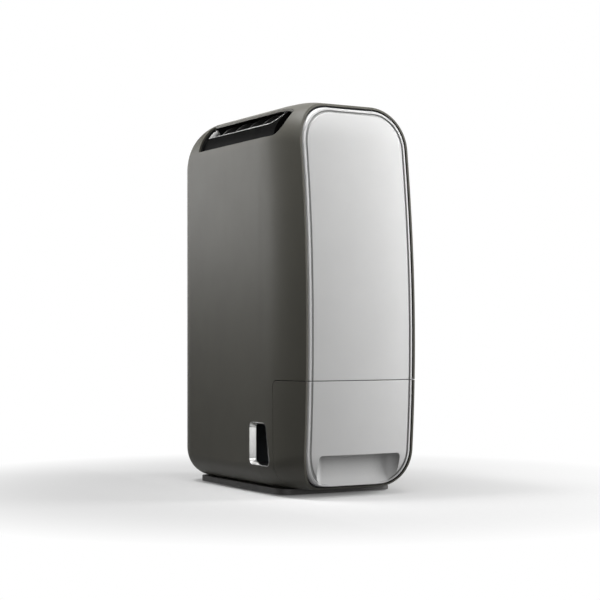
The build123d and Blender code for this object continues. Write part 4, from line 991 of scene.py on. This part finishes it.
@dataclass
class DryingUnit(SubAssembly):
    """Rotor, heater, condenser and their drives."""

    finishes: dict[str, Finish] = worn(
        condenser_headers=INNER_GREY,
        condenser_tubes=INNER_GREY,
        desiccant_rotor=HONEYCOMB,
        rotor_gear=INNER_WHITE,
        rotor_hub=INNER_WHITE,
        rotor_axle=BRIGHT_STEEL,
        rotor_housing=INNER_GREY,
        drive_pinion=INNER_WHITE,
        rotor_motor=BRIGHT_STEEL,
        heater_box=DULL_ZINC,
        heater_fins=MICA_SHEET,
        regen_scroll=INNER_GREY,
        regen_wheel=INNER_WHITE,
        regen_motor=BRIGHT_STEEL,
    )


@dataclass
class MainFan(SubAssembly):
    """Drum fan in its volute."""

    finishes: dict[str, Finish] = worn(
        fan_scroll=BLACK_SATIN,
        fan_cover=BLACK_SATIN,
        fan_wheel=INNER_WHITE,
        fan_motor=BRIGHT_STEEL,
    )


@dataclass(frozen=True)
class Arc:
    """Raised arc of a sign, in shares of the sign's radius and in degrees."""

    centre: tuple[float, float]
    radius: float
    turns: Span = FULL_TURN


@dataclass(frozen=True)
class Stroke:
    """Raised straight stroke of a sign, in shares of the sign's radius."""

    start: tuple[float, float]
    end: tuple[float, float]


@dataclass
class Controls(SubAssembly):
    """Sunk control panel with four keys and a light strip."""

    sign_radius: float = 0.0022
    sign_width: float = 0.0006
    sign_height: float = 0.00015
    wave_rows: Sequence[float] = (-0.7, 0.0, 0.7)
    wave_lift: float = 0.3
    keys: dict[str, tuple[Body, Sign]] = field(
        default_factory=lambda: {
            "power": (Body.POWER, Sign.RING_AND_BAR),
            "mode": (Body.MODE, Sign.DROP),
            "timer": (Body.TIMER, Sign.CLOCK),
            "swing": (Body.SWING, Sign.WAVES),
        }
    )
    finishes: dict[str, Finish] = worn(
        control_panel=GLOSS_BLACK,
        indicator_lens=LENS_CLEAR,
        key_board=LAMINATE,
        power_button=BLACK_SATIN,
        mode_button=BLACK_SATIN,
        timer_button=BLACK_SATIN,
        swing_button=BLACK_SATIN,
    )

    def build(self) -> None:
        """Raise a plain sign on each key."""
        for word, (body, sign) in self.keys.items():
            low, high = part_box(f"{word}_button")
            top = ((low.x + high.x) / 2, (low.y + high.y) / 2, high.z)
            mesh = bmesh.new()
            for line in self._lines(sign):
                self._draw(mesh, line, top)
            new_piece(f"{word}_sign", mesh, SIGN_AND_HIGHLIGHT_LINE, body)

    def _lines(self, sign: Sign) -> list[Arc | Stroke]:
        """Lines that make up one sign.

        Args:
            sign: Sign to draw.

        Returns:
            Its arcs and strokes in order.
        """
        middle = (0.0, 0.0)
        if sign is Sign.RING_AND_BAR:
            return [Arc(middle, 1.0, (130.0, 410.0)), Stroke(middle, (0.0, 1.2))]
        if sign is Sign.DROP:
            tip = (0.0, 1.1)
            return [Arc((0.0, -0.3), 0.7, (150.0, 390.0)), Stroke((-0.6, 0.0), tip), Stroke((0.6, 0.0), tip)]
        if sign is Sign.CLOCK:
            return [Arc(middle, 1.0), Stroke(middle, (0.0, 0.6)), Stroke(middle, (0.5, 0.0))]
        waves = []
        for row in self.wave_rows:
            waves.append(Arc((-0.5, row), 0.5, (20.0, 160.0)))
            waves.append(Arc((0.5, row + self.wave_lift), 0.5, (200.0, 340.0)))
        return waves

    def _draw(self, mesh: bmesh.types.BMesh, line: Arc | Stroke, top: Point) -> None:
        """Raise one line of a sign.

        Args:
            mesh: Mesh to draw into.
            line: Line to draw.
            top: Middle of the key's top.
        """
        if isinstance(line, Arc):
            centre, radius = self._spot(top, line.centre), line.radius * self.sign_radius
            ring_band(mesh, centre, radius, self.sign_width, self.sign_height, line.turns)
        else:
            start, end = self._spot(top, line.start), self._spot(top, line.end)
            bar(mesh, start, end, self.sign_width, self.sign_height)

    def _spot(self, top: Point, shares: tuple[float, float]) -> Point:
        """The place on a key's top that shares of the sign's radius give."""
        return (top[0] + shares[0] * self.sign_radius, top[1] + shares[1] * self.sign_radius, top[2])


@dataclass
class Electrics(SubAssembly):
    """Rear board, sensor and inlet gland."""

    finishes: dict[str, Finish] = worn(
        power_board=LAMINATE,
        board_parts=PART_BLACK,
        cord_gland=BLACK_SATIN,
        humidity_sensor=INNER_GREY,
    )


@dataclass(frozen=True)
class SoftLamp:
    """A soft lamp with a rectangular face and a limited beam."""

    name: str
    place: Point
    aim: Point
    size: tuple[float, float]
    power: float
    spread: float = 180.0

    def hang(self) -> None:
        """Hang the lamp out of the camera's sight."""
        data = bpy.data.lights.new(self.name, "AREA")
        data.shape = "RECTANGLE"
        data.size, data.size_y = self.size
        data.spread = math.radians(self.spread)
        data.energy = self.power
        lamp = bpy.data.objects.new(self.name, data)
        lamp.location = self.place
        lamp.visible_camera = False
        lamp.rotation_euler = (Vector(self.aim) - Vector(self.place)).to_track_quat("-Z", "Y").to_euler()
        bpy.context.scene.collection.objects.link(lamp)


@dataclass(frozen=True)
class DarkCard:
    """A dark card beside the set, which only reflections show."""

    name: str
    corner: Point
    along: Point
    up: Point

    def stand(self) -> None:
        """Stand the card out of the camera's sight."""
        start, foot, side = Vector(self.corner), Vector(self.along), Vector(self.up)
        data = bpy.data.meshes.new(self.name)
        data.from_pydata([start, start + foot, start + foot + side, start + side], [], [(0, 1, 2, 3)])
        data.materials.append(CARD_FELT.material())
        card = bpy.data.objects.new(self.name, data)
        card.visible_camera = False
        card.visible_shadow = False
        card.visible_diffuse = False
        bpy.context.scene.collection.objects.link(card)


@dataclass
class Studio:
    """Pale floor, soft lamps and the camera at the product's viewing angle."""

    yaw: float = 29.9
    lens_place: Point = (-0.959, -1.665, 0.194)
    lens: float = 90.0
    sensor: float = 36.0
    shift: tuple[float, float] = (0.0077, 0.0577)
    clip: Span = (0.05, 60.0)
    floor_size: float = 8.0
    floor_sides: int = 64
    floor_tones: Span = (0.86, 0.88)
    floor_patches: float = 0.4
    floor_roughness: float = 0.9
    floor_bounce: float = 0.06
    floor_fade: Span = (0.05, 0.55)
    world_level: float = 0.18
    lamps: Sequence[SoftLamp] = (
        SoftLamp("right_lamp", (1.25, -0.75, 0.55), (0.0, -0.15, 0.27), (0.5, 1.3), 18.8),
        SoftLamp("back_lamp", (-0.50, 0.80, 0.56), (-0.09, 0.12, 0.45), (0.40, 0.45), 0.60, 80.0),
        SoftLamp("top_lamp", (0.0, -0.35, 1.10), (0.0, -0.125, 0.475), (0.45, 0.2), 0.18, 40.0),
        SoftLamp("shoulder_lamp", (-0.35, 0.10, 1.20), (-0.07, 0.0, 0.45), (0.3, 0.3), 0.56, 40.0),
        SoftLamp("left_fill", (-0.62, -1.45, 0.34), (-0.08, -0.12, 0.22), (0.3, 1.0), 3.0),
    )
    cards: Sequence[DarkCard] = (
        DarkCard("left_card", (-0.8, -0.5, 0.0), (0.0, 2.6, 0.0), (0.0, 0.0, 2.4)),
        DarkCard("back_card", (-1.6, 2.2, 1.0), (2.2, 0.0, 0.0), (0.0, 0.0, 2.0)),
        DarkCard("low_card", (-0.8, -0.5, 0.002), (0.0, 2.6, 0.0), (0.66, 0.0, 0.0)),
    )

    def build(self) -> None:
        """Set the floor, the world, the lamps, the cards and the camera."""
        self._floor()
        self._world()
        for lamp in self.lamps:
            lamp.hang()
        for card in self.cards:
            card.stand()
        self._camera()
        bpy.context.scene.view_settings.view_transform = "Standard"

    def _floor(self) -> None:
        """Lay a pale floor that keeps the shadow near the appliance."""
        mesh = bmesh.new()
        bmesh.ops.create_circle(mesh, cap_ends=True, segments=self.floor_sides, radius=self.floor_size)
        data = bpy.data.meshes.new("floor")
        mesh.to_mesh(data)
        mesh.free()
        data.materials.append(self._floor_material())
        floor = bpy.data.objects.new("floor", data)
        bpy.context.scene.collection.objects.link(floor)

    def _floor_material(self) -> bpy.types.Material:
        """Make the floor pale near the appliance and white further out, where it is looked at.

        Returns:
            The finished material.
        """
        made = bpy.data.materials.new("pale_floor")
        made.use_nodes = True
        desk = NodeDesk(made.node_tree)
        shader = made.node_tree.nodes["Principled BSDF"]
        place = desk.on_piece()
        seen = self._looked_at(desk)
        light, lighter = (tint(grey(level)) for level in self.floor_tones)
        tone = desk.blend(desk.noise(place, self.floor_patches, detail=3.0), light, lighter)
        tone = desk.blend(seen, tint(grey(self.floor_bounce)), tone)
        desk.feed(shader, {"Base Color": tone, "Roughness": self.floor_roughness})
        away = desk.place("ShaderNodeVectorMath", {0: place}, operation="LENGTH").outputs["Value"]
        far = desk.sum("MULTIPLY", seen, desk.spread(away, self.floor_fade))
        white = desk.place("ShaderNodeEmission", {"Color": tint(grey(1.0)), "Strength": 1.0})
        both = desk.place("ShaderNodeMixShader", {0: far, 1: shader.outputs[0], 2: white.outputs[0]})
        desk.feed(made.node_tree.nodes["Material Output"], {"Surface": both.outputs[0]})
        return made

    @staticmethod
    def _looked_at(desk: NodeDesk) -> bpy.types.NodeSocket:
        """Where the set is seen, straight or through a reflection.

        Args:
            desk: Desk of the tree.

        Returns:
            The socket that is 1 for such rays.
        """
        ray = desk.place("ShaderNodeLightPath")
        mirrored = desk.sum("ADD", ray.outputs["Is Glossy Ray"], ray.outputs["Is Transmission Ray"])
        return desk.sum("ADD", ray.outputs["Is Camera Ray"], mirrored, clamp=True)

    def _world(self) -> None:
        """Surround the set with soft light, white where it is looked at."""
        world = bpy.data.worlds.new("studio")
        bpy.context.scene.world = world
        world.use_nodes = True
        desk = NodeDesk(world.node_tree)
        level = desk.spread(self._looked_at(desk), UNIT, (self.world_level, 1.0))
        desk.feed(world.node_tree.nodes["Background"], {"Color": tint(grey(1.0)), "Strength": level})

    def _camera(self) -> None:
        """Set the camera level at the product's viewing angle."""
        data = bpy.data.cameras.new("camera")
        data.lens = self.lens
        data.sensor_width = self.sensor
        data.shift_x, data.shift_y = self.shift
        data.clip_start, data.clip_end = self.clip
        camera = bpy.data.objects.new("camera", data)
        camera.location = self.lens_place
        camera.rotation_euler = (math.radians(90.0), 0.0, -math.radians(self.yaw))
        bpy.context.scene.collection.objects.link(camera)
        bpy.context.scene.camera = camera


def main() -> None:
    """Dress every sub-assembly in order, then set the studio."""
    logging.basicConfig(level=logging.INFO, format="%(message)s")
    for kind in (Casing, TankDrawer, AirOutlet, Intake, DryingUnit, MainFan, Controls, Electrics):
        part = kind()
        part.build()
        part.dress()
    Studio().build()


if __name__ == "__main__":
    main()
